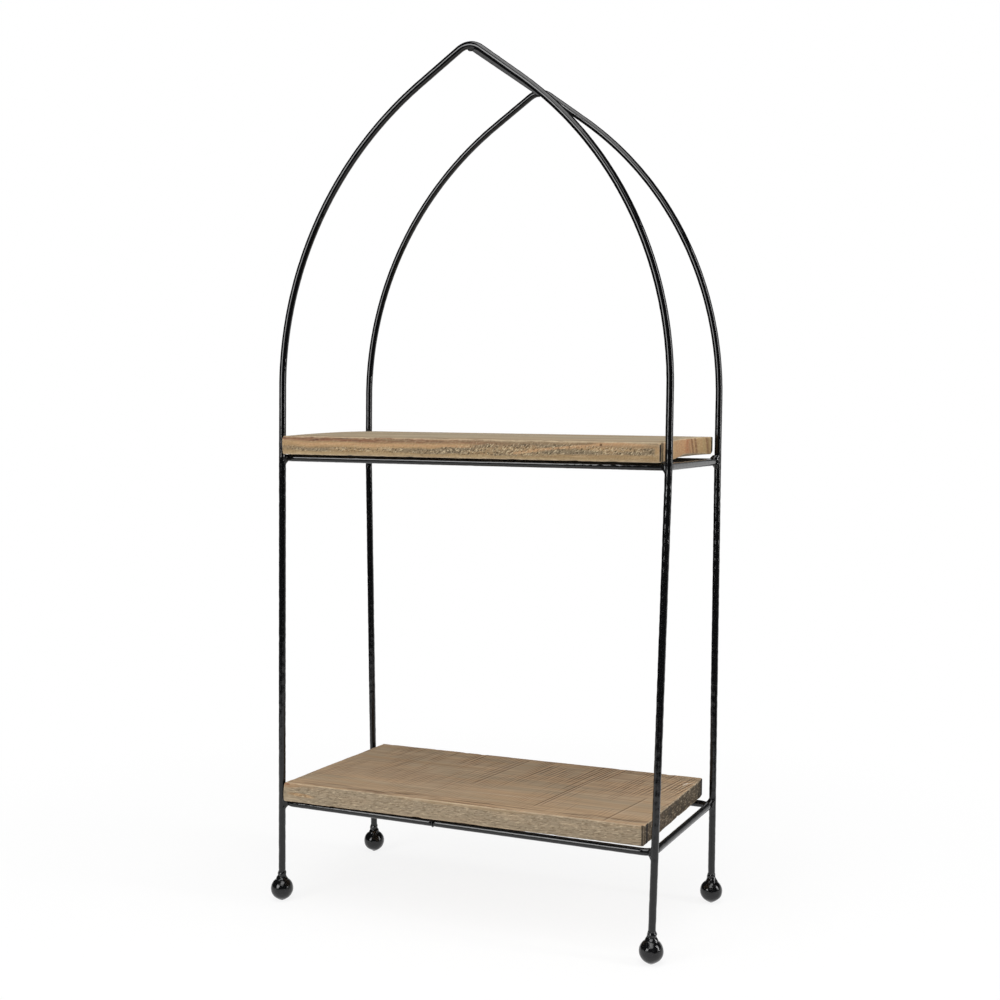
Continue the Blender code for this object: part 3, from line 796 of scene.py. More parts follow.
# %% Helpers for materials
def linear(code):
    """sRGB hex code to linear red, green, blue and alpha."""
    values = np.array([int(code[place:place + 2], 16) for place in (1, 3, 5)]) / 255
    straight = np.where(values <= 0.04045, values / 12.92, ((values + 0.055) / 1.055) ** 2.4)
    return (*straight.tolist(), 1.0)


def add(tree, kind, inputs=None, out=0, stops=None, **settings):
    """One node. inputs gives each socket a value or the output that links to it, settings are the
    node's properties, and stops are a colour ramp's (place, colour or grey level) pairs. The answer
    is the output numbered or named out."""
    made = tree.nodes.new("ShaderNode" + kind)
    for key, value in settings.items():
        setattr(made, key, value)
    for socket, value in (inputs or {}).items():
        if isinstance(value, bpy.types.NodeSocket):
            tree.links.new(value, made.inputs[socket])
        else:
            made.inputs[socket].default_value = value
    if stops:
        ramp = made.color_ramp
        while len(ramp.elements) < len(stops):
            ramp.elements.new(1.0)
        for element, (position, colour) in zip(ramp.elements, stops):
            element.position = position
            element.color = linear(colour) if isinstance(colour, str) else (colour, colour, colour, 1.0)
    return made.outputs[out]


def overlap(tree, *shares):
    """Where all the shares hold: their product."""
    product = shares[0]
    for share in shares[1:]:
        product = add(tree, "Math", {0: product, 1: share}, operation="MULTIPLY")
    return product


def stain(tree, under, code, *shares):
    """The colour under it, stained with the hex colour where all the shares overlap."""
    share = overlap(tree, *shares)
    return add(tree, "Mix", {"Factor": share, 6: under, 7: linear(code)}, 2, data_type="RGBA")


def new_material(name):
    """An empty material with its node tree and its Principled BSDF."""
    made = bpy.data.materials.new(name)
    made.use_nodes = True
    return made, made.node_tree, made.node_tree.nodes["Principled BSDF"]


print("pale pine in linear light", np.round(linear("#b79f80"), 3))

# %% [markdown]
# ## Black lacquer
#
# The frame is steel rod under dipped black lacquer. Lacquer is a clear hard resin and hardly has a
# colour of its own when it is black, so nearly all the eye sees is reflection. It dried uneven: a
# slight orange peel everywhere, and grit and dust nibs on the lower legs, where it ran.

# %% Lacquer finish
LACQUER_IOR = 1.48
LACQUER_BLACK = "#050506"
DUST_GREY = "#2a2c2e"
PEEL_HEIGHT = 0.0004
NIB_HEIGHT = 0.0002


def lacquer(name, roughness, peel, grit):
    """Black lacquer: the peel is a soft noise about 2 mm across and the grit a fine one about
    0.6 mm across, which fades in from 420 mm to 300 mm above the floor. Both bend the normal, and
    the grit also roughens the gloss and lifts the colour a little, as dust does."""
    made, tree, shader = new_material(name)
    place = add(tree, "TexCoord", out="Object")
    place = add(tree, "Mapping", {"Vector": place, "Scale": (1000, 1000, 1000)})
    soft = add(tree, "TexNoise", {"Vector": place, "Scale": 0.45, "Detail": 2.0})
    fine = add(tree, "TexNoise", {"Vector": place, "Scale": 1.6, "Detail": 3.0, "Roughness": 0.65})
    height = add(tree, "SeparateXYZ", {"Vector": place}, out="Z")
    low = add(tree, "MapRange", {"Value": height, "From Min": 420.0, "From Max": 300.0})
    spots = add(tree, "MapRange", {"Value": fine, "From Min": 0.56, "From Max": 0.72})
    spots = overlap(tree, spots, low)
    tint = stain(tree, linear(LACQUER_BLACK), DUST_GREY, spots)
    rough = add(tree, "MapRange", {"Value": spots, "To Min": roughness, "To Max": roughness + 0.18})
    bend = add(tree, "Bump", {"Strength": peel, "Distance": PEEL_HEIGHT, "Height": soft})
    bend = add(tree, "Bump", {
        "Strength": grit, "Distance": NIB_HEIGHT, "Height": overlap(tree, fine, low), "Normal": bend,
    })
    for socket, value in (("Base Color", tint), ("Roughness", rough), ("Normal", bend)):
        tree.links.new(value, shader.inputs[socket])
    shader.inputs["IOR"].default_value = LACQUER_IOR
    return made


rod_lacquer = lacquer("black_lacquer_on_rod", 0.08, 0.08, 0.24)
rail_lacquer = lacquer("black_lacquer_on_rail", 0.08, 0.10, 0.05)
weld_lacquer = lacquer("black_lacquer_over_weld", 0.11, 0.50, 0.24)
ball_lacquer = lacquer("black_lacquer_on_ball", 0.12, 0.55, 0.20)
print("nodes in a lacquer", len(rod_lacquer.node_tree.nodes))

# %% [markdown]
# ## Weathered pine
#
# The boards are softwood, sawn rough and stained a brown-grey. Along the faces the grain runs as
# long streaks; across the sawn faces run the saw's own marks; at the ends the growth rings show.
# A picture texture would carry one photograph's pixels, so everything is worked out from patterns
# on the board's own coordinates, in millimetres: x along it, y from front to back, z up. Fibres and
# pits finer than about a millimetre are drawn as coarse as that, so that they show in the render.

# %% Patterns of the wood
PROFILE_REACH = 160.0
PROFILE_TOP = 20.0


def drawn(tree, place, sizes, low, high, seed, detail=2.0, roughness=0.5, turn=0.0):
    """Spots drawn out to the given sizes in mm along x, y and z, after a turn about y: 0 where the
    noise is below low and 1 above high. The seed moves the pattern to a place of its own."""
    vector = add(tree, "Mapping", {"Vector": place, "Rotation": (0.0, turn, 0.0)})
    vector = add(tree, "Mapping", {
        "Vector": vector,
        "Scale": tuple(1 / size for size in sizes),
        "Location": (seed, seed * 1.7, -seed),
    })
    noise = add(tree, "TexNoise", {
        "Vector": vector, "Scale": 1.0, "Detail": detail, "Roughness": roughness,
    })
    return add(tree, "MapRange", {"Value": noise, "From Min": low, "From Max": high})


def stripe(tree, value, middle, half, soft):
    """1 where the value is within half of the middle, falling to 0 over soft."""
    away = add(tree, "Math", {0: value, 1: middle}, operation="SUBTRACT")
    away = add(tree, "Math", {0: away}, operation="ABSOLUTE")
    return add(tree, "MapRange", {"Value": away, "From Min": half + soft, "From Max": half})


def profile(tree, x, steps):
    """A height in mm that changes along x in straight runs, from its (x, height) steps."""
    along = add(tree, "MapRange", {"Value": x, "From Min": -PROFILE_REACH, "From Max": PROFILE_REACH})
    stops = [((step_x / PROFILE_REACH + 1) / 2, height / PROFILE_TOP) for step_x, height in steps]
    level = add(tree, "ValToRGB", {"Fac": along}, stops=stops)
    return add(tree, "Math", {0: level, 1: PROFILE_TOP}, operation="MULTIPLY")


print("a profile runs over, mm", 2 * PROFILE_REACH)


# %% Sawn top and underside
SAW_PITCH = 3.2
SAW_SLANT = -0.142
SAW_WANDER = 6.0
SCUFF_WHITE = "#e6ddd0"


def sawn_face(tree, place, x, y, look):
    """The wide faces: long streaks and paler and greyer patches along the grain, a warmer strip
    with dark lines beside the front edge, and the saw's marks across, which fade towards the back.
    The saw lines lie a pitch apart along x less a slant of y. Returns the colour and how deep the
    marks are cut."""
    streaks = drawn(tree, place, (150, 3.0, 3.0), 0.34, 0.66, 3.0, 4.0, 0.66)
    colour = add(tree, "ValToRGB", {"Fac": streaks}, stops=look["top"])
    for shade, sizes, low, high, seed, strength in (
        ("top_grey", (120, 24, 24), 0.47, 0.62, 5.0, 0.45),
        ("top_warm", (120, 13, 13), 0.48, 0.64, 7.0, 0.45),
        ("top_line", (110, 1.7, 1.7), 0.56, 0.68, 9.0, 0.45),
        ("top_pale", (90, 2.0, 2.0), 0.57, 0.70, 11.0, 0.40),
    ):
        colour = stain(tree, colour, look[shade], drawn(tree, place, sizes, low, high, seed), strength)
    front_strip = stripe(tree, y, -76.0, 9.0, 12.0)
    for shade, sizes, low, high, seed, strength in (
        ("top_warm", (60, 5, 5), 0.40, 0.62, 13.0, 0.45),
        ("mark", (40, 3.4, 3.4), 0.53, 0.60, 15.0, 0.70),
    ):
        patch = drawn(tree, place, sizes, low, high, seed)
        colour = stain(tree, colour, look[shade], front_strip, patch, strength)

    slant = add(tree, "Math", {0: y, 1: SAW_SLANT, 2: x}, operation="MULTIPLY_ADD")
    slant_place = add(tree, "CombineXYZ", {"X": slant, "Y": y})
    groups = drawn(tree, slant_place, (22, 60, 1), 0.40, 0.56, 37.0)
    fade = add(tree, "MapRange", {"Value": y, "From Min": -75.0, "From Max": 45.0, "To Min": 0.18})
    wander = drawn(tree, slant_place, (14, 120, 1), 0.0, 1.0, 35.0)
    tooth = add(tree, "Math", {0: wander, 1: SAW_WANDER, 2: slant}, operation="MULTIPLY_ADD")
    tooth = add(tree, "Math", {0: tooth, 1: SAW_PITCH / 2}, operation="PINGPONG")
    dark = add(tree, "MapRange", {"Value": tooth, "From Min": 0.85, "From Max": 0.25})
    dark = overlap(tree, dark, drawn(tree, slant_place, (4.2, 50, 1), 0.38, 0.54, 31.0, 2.0, 0.7))
    pale = add(tree, "MapRange", {"Value": tooth, "From Min": 0.90, "From Max": 1.40})
    pale = overlap(tree, pale, drawn(tree, slant_place, (6, 60, 1), 0.40, 0.56, 33.0, 2.0, 0.7))
    hatch = overlap(tree, dark, groups, fade)
    colour = stain(tree, colour, look["mark"], hatch, look["sawn"])
    colour = stain(tree, colour, look["mark_pale"], pale, groups, fade, look["sawn"])
    cuts = hatch
    for mark_x, front, back, strength in look["marks"]:
        ends = stripe(tree, y, (front + back) / 2, (back - front) / 2, 9.0)
        line = overlap(tree, stripe(tree, slant, mark_x, 0.25, 0.75), ends)
        colour = stain(tree, colour, look["mark"], line, strength)
        partner = stripe(tree, slant, mark_x + 1.5, 0.2, 0.8)
        colour = stain(tree, colour, look["top_pale"], partner, ends, 0.7 * strength)
        cuts = add(tree, "Math", {0: cuts, 1: line}, operation="MAXIMUM")
    for scuff_x, scuff_y, lean in look["scuffs"]:
        along = add(tree, "Math", {0: y, 1: -lean, 2: x}, operation="MULTIPLY_ADD")
        line = stripe(tree, along, scuff_x - lean * scuff_y, 0.3, 0.5)
        colour = stain(tree, colour, SCUFF_WHITE, line, stripe(tree, y, scuff_y, 3.2, 0.8), 0.9)
    return colour, cuts


print("saw lines are apart by, mm", SAW_PITCH)


# %% Sawn edges
EDGE_WAVER = 1.6


def sawn_edge(tree, place, x, z, look):
    """The front and back: bands of colour from the underside up, which waver a little, a red band
    near the top at the left, and a grey zone between two profiles with coarse dark and pale pits.
    Returns the colour and how deep the pits are."""
    waver = drawn(tree, place, (24, 24, 6), 0.25, 0.75, 21.0)
    level = add(tree, "Math", {0: waver, 1: EDGE_WAVER, 2: z}, operation="MULTIPLY_ADD")
    level = add(tree, "Math", {0: level, 1: EDGE_WAVER / 2}, operation="SUBTRACT")
    up = add(tree, "MapRange", {"Value": level, "From Max": 15.0})
    colour = add(tree, "ValToRGB", {"Fac": up}, stops=look["front"])
    long_streaks = drawn(tree, place, (34, 1.3, 1.3), 0.50, 0.66, 23.0, 3.0, 0.6)
    colour = stain(tree, colour, look["front_line"], long_streaks, 0.42)
    pale_streaks = drawn(tree, place, (26, 1.4, 1.4), 0.55, 0.68, 25.0)
    colour = stain(tree, colour, look["front_pale"], pale_streaks, 0.45)

    red_end = look["red_to"]
    red = add(tree, "MapRange", {"Value": x, "From Min": red_end, "From Max": red_end - 70.0})
    band = add(tree, "MapRange", {"Value": level, "From Min": 10.2, "From Max": 11.4})
    red_streaks = drawn(tree, place, (20, 1.5, 1.0), 0.34, 0.58, 27.0, 3.0, 0.6)
    colour = stain(tree, colour, look["red"], red, band, red_streaks, 0.85)
    dark_streaks = drawn(tree, place, (13, 1.5, 0.9), 0.55, 0.64, 28.0)
    colour = stain(tree, colour, look["red_dark"], red, band, dark_streaks, 0.75)

    over = add(tree, "Math", {0: level, 1: profile(tree, x, look["grey_low"])}, operation="SUBTRACT")
    over = add(tree, "MapRange", {"Value": over, "From Min": -0.5, "From Max": 0.7})
    under = add(tree, "Math", {0: profile(tree, x, look["grey_high"]), 1: level}, operation="SUBTRACT")
    under = add(tree, "MapRange", {"Value": under, "From Min": -0.5, "From Max": 0.9})
    inside = add(tree, "MapRange", {"Value": x, "From Min": 148.2, "From Max": 146.8})
    grey = overlap(tree, over, under, inside)
    patches = drawn(tree, place, (26, 9, 5), 0.30, 0.55, 29.0)
    colour = stain(tree, colour, look["grey"], grey, patches, 0.85)
    for line_x, line_z, slope, half in look["tan_lines"]:
        rise = add(tree, "Math", {0: x, 1: -slope, 2: level}, operation="MULTIPLY_ADD")
        line = stripe(tree, rise, line_z - slope * line_x, 0.55, 0.7)
        colour = stain(tree, colour, look["tan"], line, stripe(tree, x, line_x, half, 8.0), 0.8)
    roughly = add(tree, "Math", {0: grey, 1: 0.72, 2: 0.28}, operation="MULTIPLY_ADD")
    dark_pits = drawn(tree, place, look["pit_size"], 0.52, 0.62, 13.0, 2.0, 0.6, look["pit_turn"])
    pale_pits = drawn(tree, place, look["pit_size"], 0.56, 0.66, 17.0, 2.0, 0.6, look["pit_turn"])
    for shade, pits in (("pit_dark", dark_pits), ("pit_pale", pale_pits)):
        colour = stain(tree, colour, look[shade], pits, roughly, look["pit_strength"])
    for spot_x, spot_z, width, code in look["spots"]:
        spot = overlap(tree, stripe(tree, x, spot_x, width, 0.7), stripe(tree, z, spot_z, 0.5, 0.7))
        colour = stain(tree, colour, code, spot, 0.8)
    return colour, overlap(tree, dark_pits, roughly)


print("the bands of an edge waver by, mm", EDGE_WAVER)


# %% End grain
END_PIT = (1.5, 4.0, 1.3)


def end_grain(tree, place, y, z, look):
    """The ends: bands of colour from front to back, then growth rings as thin lines that lean with
    the height, and pits drawn out across the end. Returns the colour and how deep the pits are."""
    back = add(tree, "MapRange", {"Value": y, "From Min": -80.0, "From Max": 80.0})
    colour = add(tree, "ValToRGB", {"Fac": back}, stops=look["end"])
    lean = add(tree, "Math", {0: z, 1: look["ring_lean"], 2: y}, operation="MULTIPLY_ADD")
    ring_place = add(tree, "CombineXYZ", {"X": lean})
    rings = drawn(tree, ring_place, (look["ring_width"], 1, 1), 0.54, 0.62, 41.0, 1.0)
    start = look["ring_from"]
    zone = add(tree, "MapRange", {"Value": y, "From Min": start, "From Max": start + 4.0})
    colour = stain(tree, colour, look["ring_dark"], rings, zone, 0.75)
    soft = drawn(tree, ring_place, (11, 1, 1), 0.42, 0.62, 43.0)
    colour = stain(tree, colour, look["end_warm"], soft, look["end_soft"])
    dark_pits = drawn(tree, place, END_PIT, 0.52, 0.62, 45.0, 2.0, 0.6)
    pale_pits = drawn(tree, place, (1.5, 4.5, 1.3), 0.54, 0.66, 47.0, 2.0, 0.6)
    for shade, pits in (("end_pit", dark_pits), ("end_pale", pale_pits)):
        colour = stain(tree, colour, look[shade], pits, look["end_rough"])
    return colour, overlap(tree, dark_pits, look["end_rough"])


print("a pit in an end is, mm", END_PIT)


# %% Pine
PINE_ROUGHNESS = 0.82
PINE_IOR = 1.45
GRAIN_HEIGHT = 0.00035
# Near-black for the stripes beside the legs on the right ends: painted shade of the legs.
PAINTED_LEG_SHADE = "#17110f"


def pine(name, look):
    """Weathered pine: the three kinds of face, told apart by the normal, then pale worn edges and the
    near-black stripes beside the legs, which are painted shade of the legs. The bump is the grain
    less every cut and pit."""
    made, tree, shader = new_material(name)
    place = add(tree, "Attribute", out="Vector", attribute_name="wood")
    edges = add(tree, "Attribute", out="Vector", attribute_name="edges")
    normal = add(tree, "TexCoord", out="Normal")
    x, y, z = (add(tree, "SeparateXYZ", {"Vector": place}, out=axis) for axis in "XYZ")
    from_end, from_side, from_face = (
        add(tree, "SeparateXYZ", {"Vector": edges}, out=axis) for axis in "XYZ"
    )
    facing = {}
    for axis in "XZ":
        size = add(tree, "SeparateXYZ", {"Vector": normal}, out=axis)
        size = add(tree, "Math", {0: size}, operation="ABSOLUTE")
        facing[axis] = add(tree, "MapRange", {"Value": size, "From Min": 0.55, "From Max": 0.82})

    colour, edge_depth = sawn_edge(tree, place, x, z, look)
    top, top_depth = sawn_face(tree, place, x, y, look)
    end, end_depth = end_grain(tree, place, y, z, look)
    for share, face in ((facing["Z"], top), (facing["X"], end)):
        colour = add(tree, "Mix", {"Factor": share, 6: colour, 7: face}, 2, data_type="RGBA")

    corner = add(tree, "Math", {0: from_end, 1: from_side}, operation="MAXIMUM")
    for second in (from_end, from_side):
        near = add(tree, "Math", {0: second, 1: from_face}, operation="MAXIMUM")
        corner = add(tree, "Math", {0: corner, 1: near}, operation="MINIMUM")
    ragged = drawn(tree, place, (6, 3, 3), 0.3, 0.7, 51.0, 3.0, 0.7)
    corner = add(tree, "Math", {0: ragged, 1: 1.3, 2: corner}, operation="MULTIPLY_ADD")
    worn = add(tree, "MapRange", {"Value": corner, "From Min": 1.9, "From Max": 0.6})
    colour = stain(tree, colour, look["worn"], worn, look["worn_share"])

    # Near-black stripes on the right half, on the ends and on the front beside the legs: painted shade
    # of the legs.
    right = add(tree, "Math", {0: x, 1: 0.0}, operation="GREATER_THAN")
    faces = {"end": (y, from_end, 0.3, 0.5), "front": (x, from_side, 0.7, 0.5)}
    for face, start, stop, bottom, top_z, strength in look["leg_shade_stripes"]:
        along, depth, away, towards = faces[face]
        frayed = add(tree, "Math", {0: ragged, 1: 0.7, 2: along}, operation="MULTIPLY_ADD")
        band = stripe(tree, frayed, (start + stop) / 2 + 0.35, (stop - start) / 2, 0.35)
        tall = stripe(tree, z, (bottom + top_z) / 2, (top_z - bottom) / 2, 0.5)
        skin = add(tree, "MapRange", {"Value": depth, "From Min": 1.4, "From Max": 0.9})
        side = add(tree, "MapRange", {"Value": facing["X"], "From Min": away, "From Max": towards})
        colour = stain(tree, colour, PAINTED_LEG_SHADE, band, tall, skin, right, side, strength)

    height = drawn(tree, place, (40, 1.6, 1.6), 0.2, 0.8, 53.0, 3.0, 0.6)
    edge_only = add(tree, "Math", {0: 1.0, 1: facing["Z"]}, operation="SUBTRACT")
    cuts = ((edge_depth, edge_only, 0.8), (top_depth, facing["Z"], 0.6), (end_depth, facing["X"], 0.8))
    for cut in cuts:
        height = add(tree, "Math", {0: height, 1: overlap(tree, *cut)}, operation="SUBTRACT")
    bump = add(tree, "Bump", {"Strength": 0.7, "Distance": GRAIN_HEIGHT, "Height": height})
    tree.links.new(colour, shader.inputs["Base Color"])
    tree.links.new(bump, shader.inputs["Normal"])
    shader.inputs["Roughness"].default_value = PINE_ROUGHNESS
    shader.inputs["IOR"].default_value = PINE_IOR
    shader.inputs["Specular IOR Level"].default_value = 0.3
    return made


# The stripes in this near-black are painted shade of the legs.
print("black rubbed off on the ends is", PAINTED_LEG_SHADE)

# %% [markdown]
# ## Looks of the two boards
#
# The two boards were cut from different planks. The upper one is paler and yellower, planed almost
# clean on top, with pits drawn slantwise in its edges; the lower one is browner, with the saw's lines
# all over its top and a dark, rough right end. Two separate materials would repeat every pattern, so
# one wood is made twice, from two tables of colours and of places in the board's millimetres:
#
# - marks, deep single saw lines: x on the board's middle line, front end, back end, strength
# - scuffs, pale scratches: x, y, lean
# - grey_low and grey_high, the bounds of the grey zone on the front: steps of x and height
# - tan_lines, warm lines on the front: x, height, slope, half length
# - spots, small knots: x, height, half width, colour
# - near-black stripes beside the legs, painted shade of the legs: face, from, to, bottom, top, strength

# %% Looks
UPPER_LOOK = {
    "top": ((0.0, "#7f705a"), (0.5, "#a3957c"), (1.0, "#c0b298")),
    "top_grey": "#93897a", "top_warm": "#a98c68", "top_line": "#75664f", "top_pale": "#c4b69d",
    "sawn": 0.30, "mark": "#6e5a44", "mark_pale": "#c2a585",
    "marks": ((-70.0, -60.0, 60.0, 0.4), (90.0, -20.0, 60.0, 0.4)),
    "scuffs": (),
    "front": (
        (0.00, "#957f61"), (0.07, "#a58f6d"), (0.20, "#967e5b"), (0.36, "#977f5e"), (0.46, "#a58862"),
        (0.62, "#a78964"), (0.72, "#977c5d"), (0.80, "#887258"), (0.93, "#938166"), (1.00, "#af9c80"),
    ),
    "front_line": "#81654a", "front_pale": "#c3a882",
    "red_to": 40.0, "red": "#7f543e", "red_dark": "#4a2f2a",
    "grey": "#7d705b",
    "grey_low": ((-160, 3.0), (-20, 3.0), (40, 2.5), (77, 4.4), (160, 5.4)),
    "grey_high": (
        (-160, 6.0), (-25, 6.6), (0, 8.8), (20, 11.5), (60, 12.1), (100, 11.0), (112, 10.0), (160, 10.3),
    ),
    "tan": "#b5906a",
    "tan_lines": ((75.0, 8.6, 0.10, 32.0), (122.0, 12.3, 0.0, 14.0), (-65.0, 8.4, 0.0, 70.0)),
    "pit_size": (2.0, 1.6, 0.95), "pit_turn": 0.7,
    "pit_dark": "#3f3427", "pit_pale": "#ccba98", "pit_strength": 0.80,
    "spots": ((107.8, 11.9, 0.6, "#4c3020"), (27.0, 3.2, 0.4, "#54483a")),
    "ring_lean": 0.5, "ring_width": 6.0, "ring_from": 3.0, "ring_dark": "#6e4a30",
    "end": (
        (0.0, "#b09c79"), (0.25, "#bd9a72"), (0.44, "#ba8d64"), (0.485, "#a8714f"), (0.53, "#ac8560"),
        (0.68, "#b09267"), (0.92, "#a08c62"), (1.0, "#948463"),
    ),
    "end_warm": "#a97a56", "end_soft": 0.35,
    "end_pit": "#7a6349", "end_pale": "#c9b28c", "end_rough": 0.30,
    "worn": "#cab698", "worn_share": 0.6,
    # Near-black stripes beside the legs: painted shade of the legs.
    "leg_shade_stripes": (("end", -78.6, -76.0, 1.0, 12.6, 0.95), ("end", 73.4, 84.0, 1.0, 16.0, 0.92)),
}
LOWER_LOOK = {
    "top": ((0.0, "#967f67"), (0.5, "#a99277"), (1.0, "#b9a387")),
    "top_grey": "#91856f", "top_warm": "#b08e6a", "top_line": "#75634d", "top_pale": "#bda68a",
    "sawn": 0.95, "mark": "#614a36", "mark_pale": "#bf9d7a",
    "marks": (
        (60.6, -52.0, 73.0, 0.85), (63.4, -45.0, 73.0, 0.7), (55.0, 7.0, 66.0, 0.7),
        (-13.5, -10.0, 73.0, 0.8), (-17.5, 5.0, 70.0, 0.6), (-22.0, 12.0, 67.0, 0.6),
        (-97.0, 11.0, 75.0, 0.6), (-93.8, 20.0, 75.0, 0.55), (123.0, -69.0, -5.0, 0.7),
        (121.5, 29.0, 62.0, 0.6),
    ),
    "scuffs": ((138.8, 53.6, 0.28), (142.4, 58.9, 2.0)),
    "front": (
        (0.00, "#998870"), (0.08, "#94846f"), (0.30, "#93836b"), (0.55, "#9a8971"), (0.80, "#95836a"),
        (0.90, "#927e63"), (1.00, "#9e8a6f"),
    ),
    "front_line": "#85705a", "front_pale": "#bfab90",
    "red_to": -100.0, "red": "#a07a56", "red_dark": "#7b583f",
    "grey": "#8d7f6a",
    "grey_low": ((-160, 6.0), (-130, 1.0), (-70, 0.0), (-20, 2.0), (30, 1.0), (160, 0.0)),
    "grey_high": (
        (-160, 7.0), (-135, 13.0), (-95, 15.5), (-60, 15.0), (-20, 12.5), (30, 13.5), (80, 15.0),
        (160, 16.0),
    ),
    "tan": "#a5845f", "tan_lines": ((-137.0, 6.0, 0.0, 6.0),),
    "pit_size": (4.5, 1.6, 1.0), "pit_turn": 0.12,
    "pit_dark": "#65543f", "pit_pale": "#c4b296", "pit_strength": 0.50,
    "spots": ((-149.5, 14.2, 2.0, "#7e4a30"),),
    "ring_lean": 0.4, "ring_width": 7.0, "ring_from": -90.0, "ring_dark": "#4d4233",
    "end": ((0.0, "#564b3e"), (0.3, "#463c32"), (0.6, "#4b4236"), (1.0, "#574d3e")),
    "end_warm": "#6b5a46", "end_soft": 0.35,
    "end_pit": "#2e261d", "end_pale": "#978872", "end_rough": 0.75,
    "worn": "#c0ae94", "worn_share": 0.5,
    # Near-black stripes beside the legs: painted shade of the legs.
    "leg_shade_stripes": (
        ("end", -69.4, -65.8, -1.0, 16.0, 0.95),
        ("front", 142.0, 143.3, 1.0, 15.6, 0.8),
        ("end", 74.6, 84.0, 1.0, 16.0, 0.95),
    ),
}
upper_pine = pine("weathered_pine_upper_board", UPPER_LOOK)
lower_pine = pine("weathered_pine_lower_board", LOWER_LOOK)
print("nodes in the upper board's pine", len(upper_pine.node_tree.nodes))

# %% [markdown]
# ## Finish and ride
#
# Every piece takes its finish and rides on its body: the welded steel on the frame, and each
# board on its own, since the boards lift out. The name of the record's slot for each piece is picked
# as well, but nothing here uses it.

# %% Finishes, slots and bodies
for name, piece in pieces.items():
    body = "frame"
    if name == "upper_plank":
        finish, slot, body = upper_pine, "weathered_pine_upper", "upper_board"
    elif name == "lower_plank":
        finish, slot, body = lower_pine, "weathered_pine_lower", "lower_board"
    elif name in weld_names:
        finish, slot = weld_lacquer, "black_lacquer_on_welds"
    elif name.startswith("ball_"):
        finish, slot = ball_lacquer, "black_lacquer_on_feet"
    elif name.endswith("_arch"):
        finish, slot = rod_lacquer, "black_lacquer"
    else:
        finish, slot = rail_lacquer, "black_lacquer"
    piece.data.materials.append(finish)
    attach(piece, body)
faces = [face for piece in pieces.values() for face in piece.data.polygons]
print("pieces", len(pieces), "triangles", sum(len(face.vertices) - 2 for face in faces))

# %% [markdown]
# ## Floor
#
# The photograph stands on pure white. A white floor lit to pure white would need more light than
# the wood can take. So to the camera and to reflections most of the floor's white is a glow of its
# own, more of it further out, and the rest is left to the lamps, which draws the soft shadow of the
# stand. The floor is as large as a small studio table: beyond its edge the black lacquer reflects
# the dim room.

# %% Floor
FLOOR_SIZE = 1.3
NEAR_GLOW = 0.86
half = FLOOR_SIZE / 2
floor_mesh = bpy.data.meshes.new("floor")
corners = [(-half, -half, 0), (half, -half, 0), (half, half, 0), (-half, half, 0)]
floor_mesh.from_pydata(corners, [], [(0, 1, 2, 3)])
floor = show("floor", floor_mesh)
floor_paint = bpy.data.materials.new("white_studio_table")
floor_paint.use_nodes = True
tree = floor_paint.node_tree
tree.nodes.remove(tree.nodes["Principled BSDF"])
seen = 0.0
for kind in ("Is Camera Ray", "Is Glossy Ray", "Is Transmission Ray"):
    seen = add(tree, "Math", {0: add(tree, "LightPath", out=kind), 1: seen}, operation="MAXIMUM")
far = add(tree, "TexCoord", out="Object")
far = add(tree, "VectorMath", {0: far}, "Value", operation="LENGTH")
far = add(tree, "MapRange", {
    "Value": far, "From Min": 0.20, "From Max": 0.70, "To Min": NEAR_GLOW, "To Max": 1.0,
}, interpolation_type="SMOOTHSTEP")
matt = add(tree, "BsdfDiffuse", {"Color": linear("#f4f4f4")})
glow = add(tree, "Emission", {"Color": (1, 1, 1, 1), "Strength": 1.0})
both = add(tree, "MixShader", {0: overlap(tree, seen, far), 1: matt, 2: glow})
tree.links.new(both, tree.nodes["Material Output"].inputs["Surface"])
floor_mesh.materials.append(floor_paint)
print("floor, m", FLOOR_SIZE)

# %% [markdown]
# ## World
#
# The world is a plain studio: an even soft light on the wood, white behind the object for the
# camera, and for reflections a pale wall behind and to the right, and dim surroundings elsewhere.
# Even white surroundings would be simpler, but black lacquer would look grey in them.

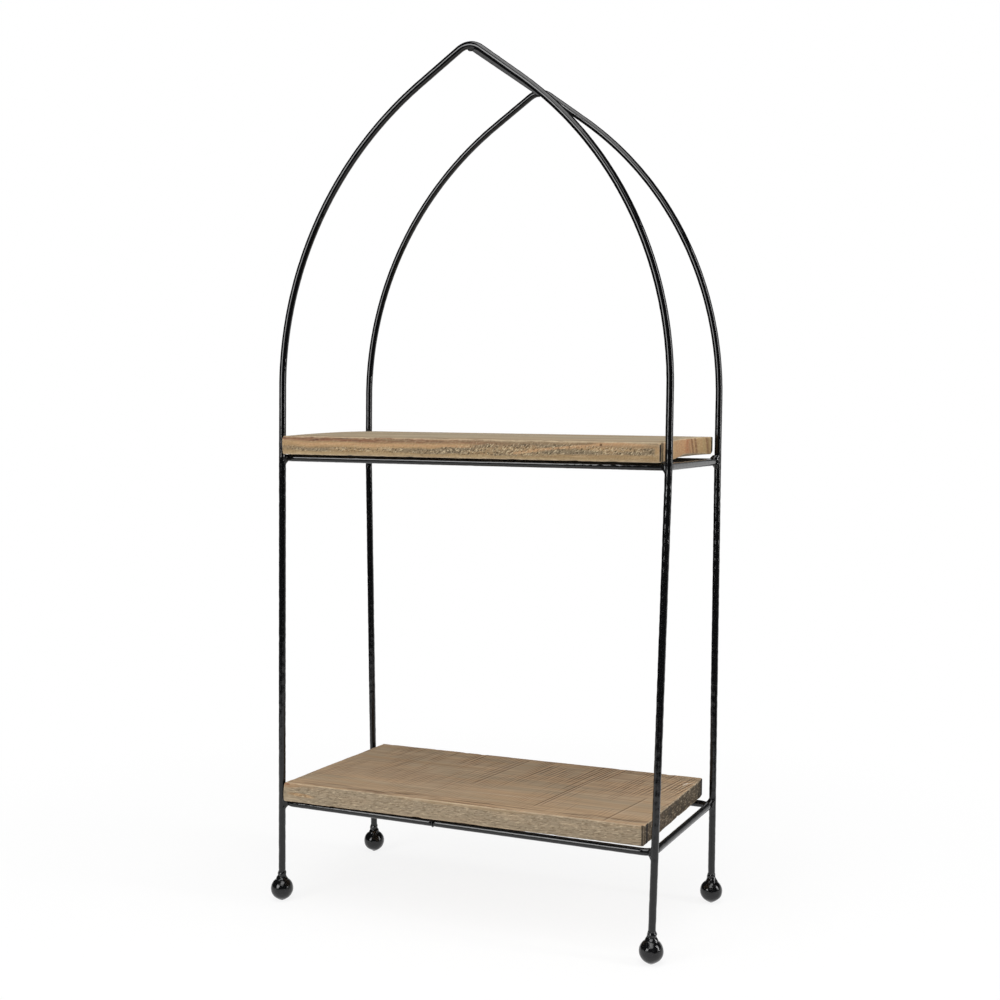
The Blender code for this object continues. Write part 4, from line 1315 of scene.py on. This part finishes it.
# %% World
WORLD_LIGHT = 0.27
DIM_REFLECTION = 0.05
WALL_REFLECTION = 0.75
WALL_WAY = (0.39, 0.92, 0.0)
world = bpy.data.worlds.new("studio")
bpy.context.scene.world = world
world.use_nodes = True
tree = world.node_tree
background = tree.nodes["Background"]
way = add(tree, "TexCoord", out="Generated")
wall = add(tree, "VectorMath", {0: way, 1: WALL_WAY}, "Value", operation="DOT_PRODUCT")
wall = add(tree, "MapRange", {"Value": wall, "From Min": 0.55, "From Max": 0.85})
rise = add(tree, "SeparateXYZ", {"Vector": way}, out="Z")
low = add(tree, "MapRange", {
    "Value": rise, "From Min": 0.36, "From Max": 0.10,
}, interpolation_type="SMOOTHSTEP")
wall = overlap(tree, wall, low)
wall = add(tree, "MapRange", {"Value": wall, "To Min": DIM_REFLECTION, "To Max": WALL_REFLECTION})
glossy = add(tree, "LightPath", out="Is Glossy Ray")
level = add(tree, "Mix", {"Factor": glossy, 2: WORLD_LIGHT, 3: wall}, data_type="FLOAT")
seen = add(tree, "LightPath", out="Is Transmission Ray")
seen = add(tree, "Math", {0: add(tree, "LightPath", out="Is Camera Ray"), 1: seen}, operation="MAXIMUM")
level = add(tree, "Mix", {"Factor": seen, 2: level, 3: 1.0}, data_type="FLOAT")
tree.links.new(level, background.inputs["Strength"])
background.inputs["Color"].default_value = (1, 1, 1, 1)
print("world light", WORLD_LIGHT, "wall in reflections", WALL_REFLECTION)

# %% [markdown]
# ## Softboxes
#
# On a round black rod a lamp shows as a line as wide as the lamp seems from there, so the shape of
# each lamp matters more than its power. A wide low one at the left draws the bright line of rails
# and arches, a narrow one stands at the right, and two large ones light the tops of the boards.

# %% Softboxes
LAMP_AIM_HEIGHT = 0.3


def softbox(name, azimuth, elevation, distance, width, height, power):
    """A rectangular lamp in metres and watts that faces the middle of the stand from an azimuth
    and elevation in degrees."""
    back = outward(math.radians(azimuth), math.radians(elevation))
    data = bpy.data.lights.new(name, "AREA")
    data.shape = "RECTANGLE"
    data.size = width
    data.size_y = height
    data.energy = power
    lamp = show(name, data)
    lamp.location = Vector((0, 0, LAMP_AIM_HEIGHT)) + back * distance
    lamp.rotation_euler = (-back).to_track_quat("-Z", "Y").to_euler()
    print(name, "at, m", [round(value, 2) for value in lamp.location])


softbox("left_strip", -24, 15, 1.8, 0.70, 0.90, 15)
softbox("right_strip", 93, 20, 2.0, 0.30, 1.46, 19)
softbox("overhead", 30, 78, 2.0, 1.2, 1.2, 18)
softbox("front_top", 16, 48, 2.0, 1.1, 1.0, 12)

# %% [markdown]
# ## Colour management
#
# A filmic view would soften white to pale grey. The standard view shows a strength of 1 as white.

# %% Colour management
bpy.context.scene.view_settings.view_transform = "Standard"
print("view", bpy.context.scene.view_settings.view_transform)
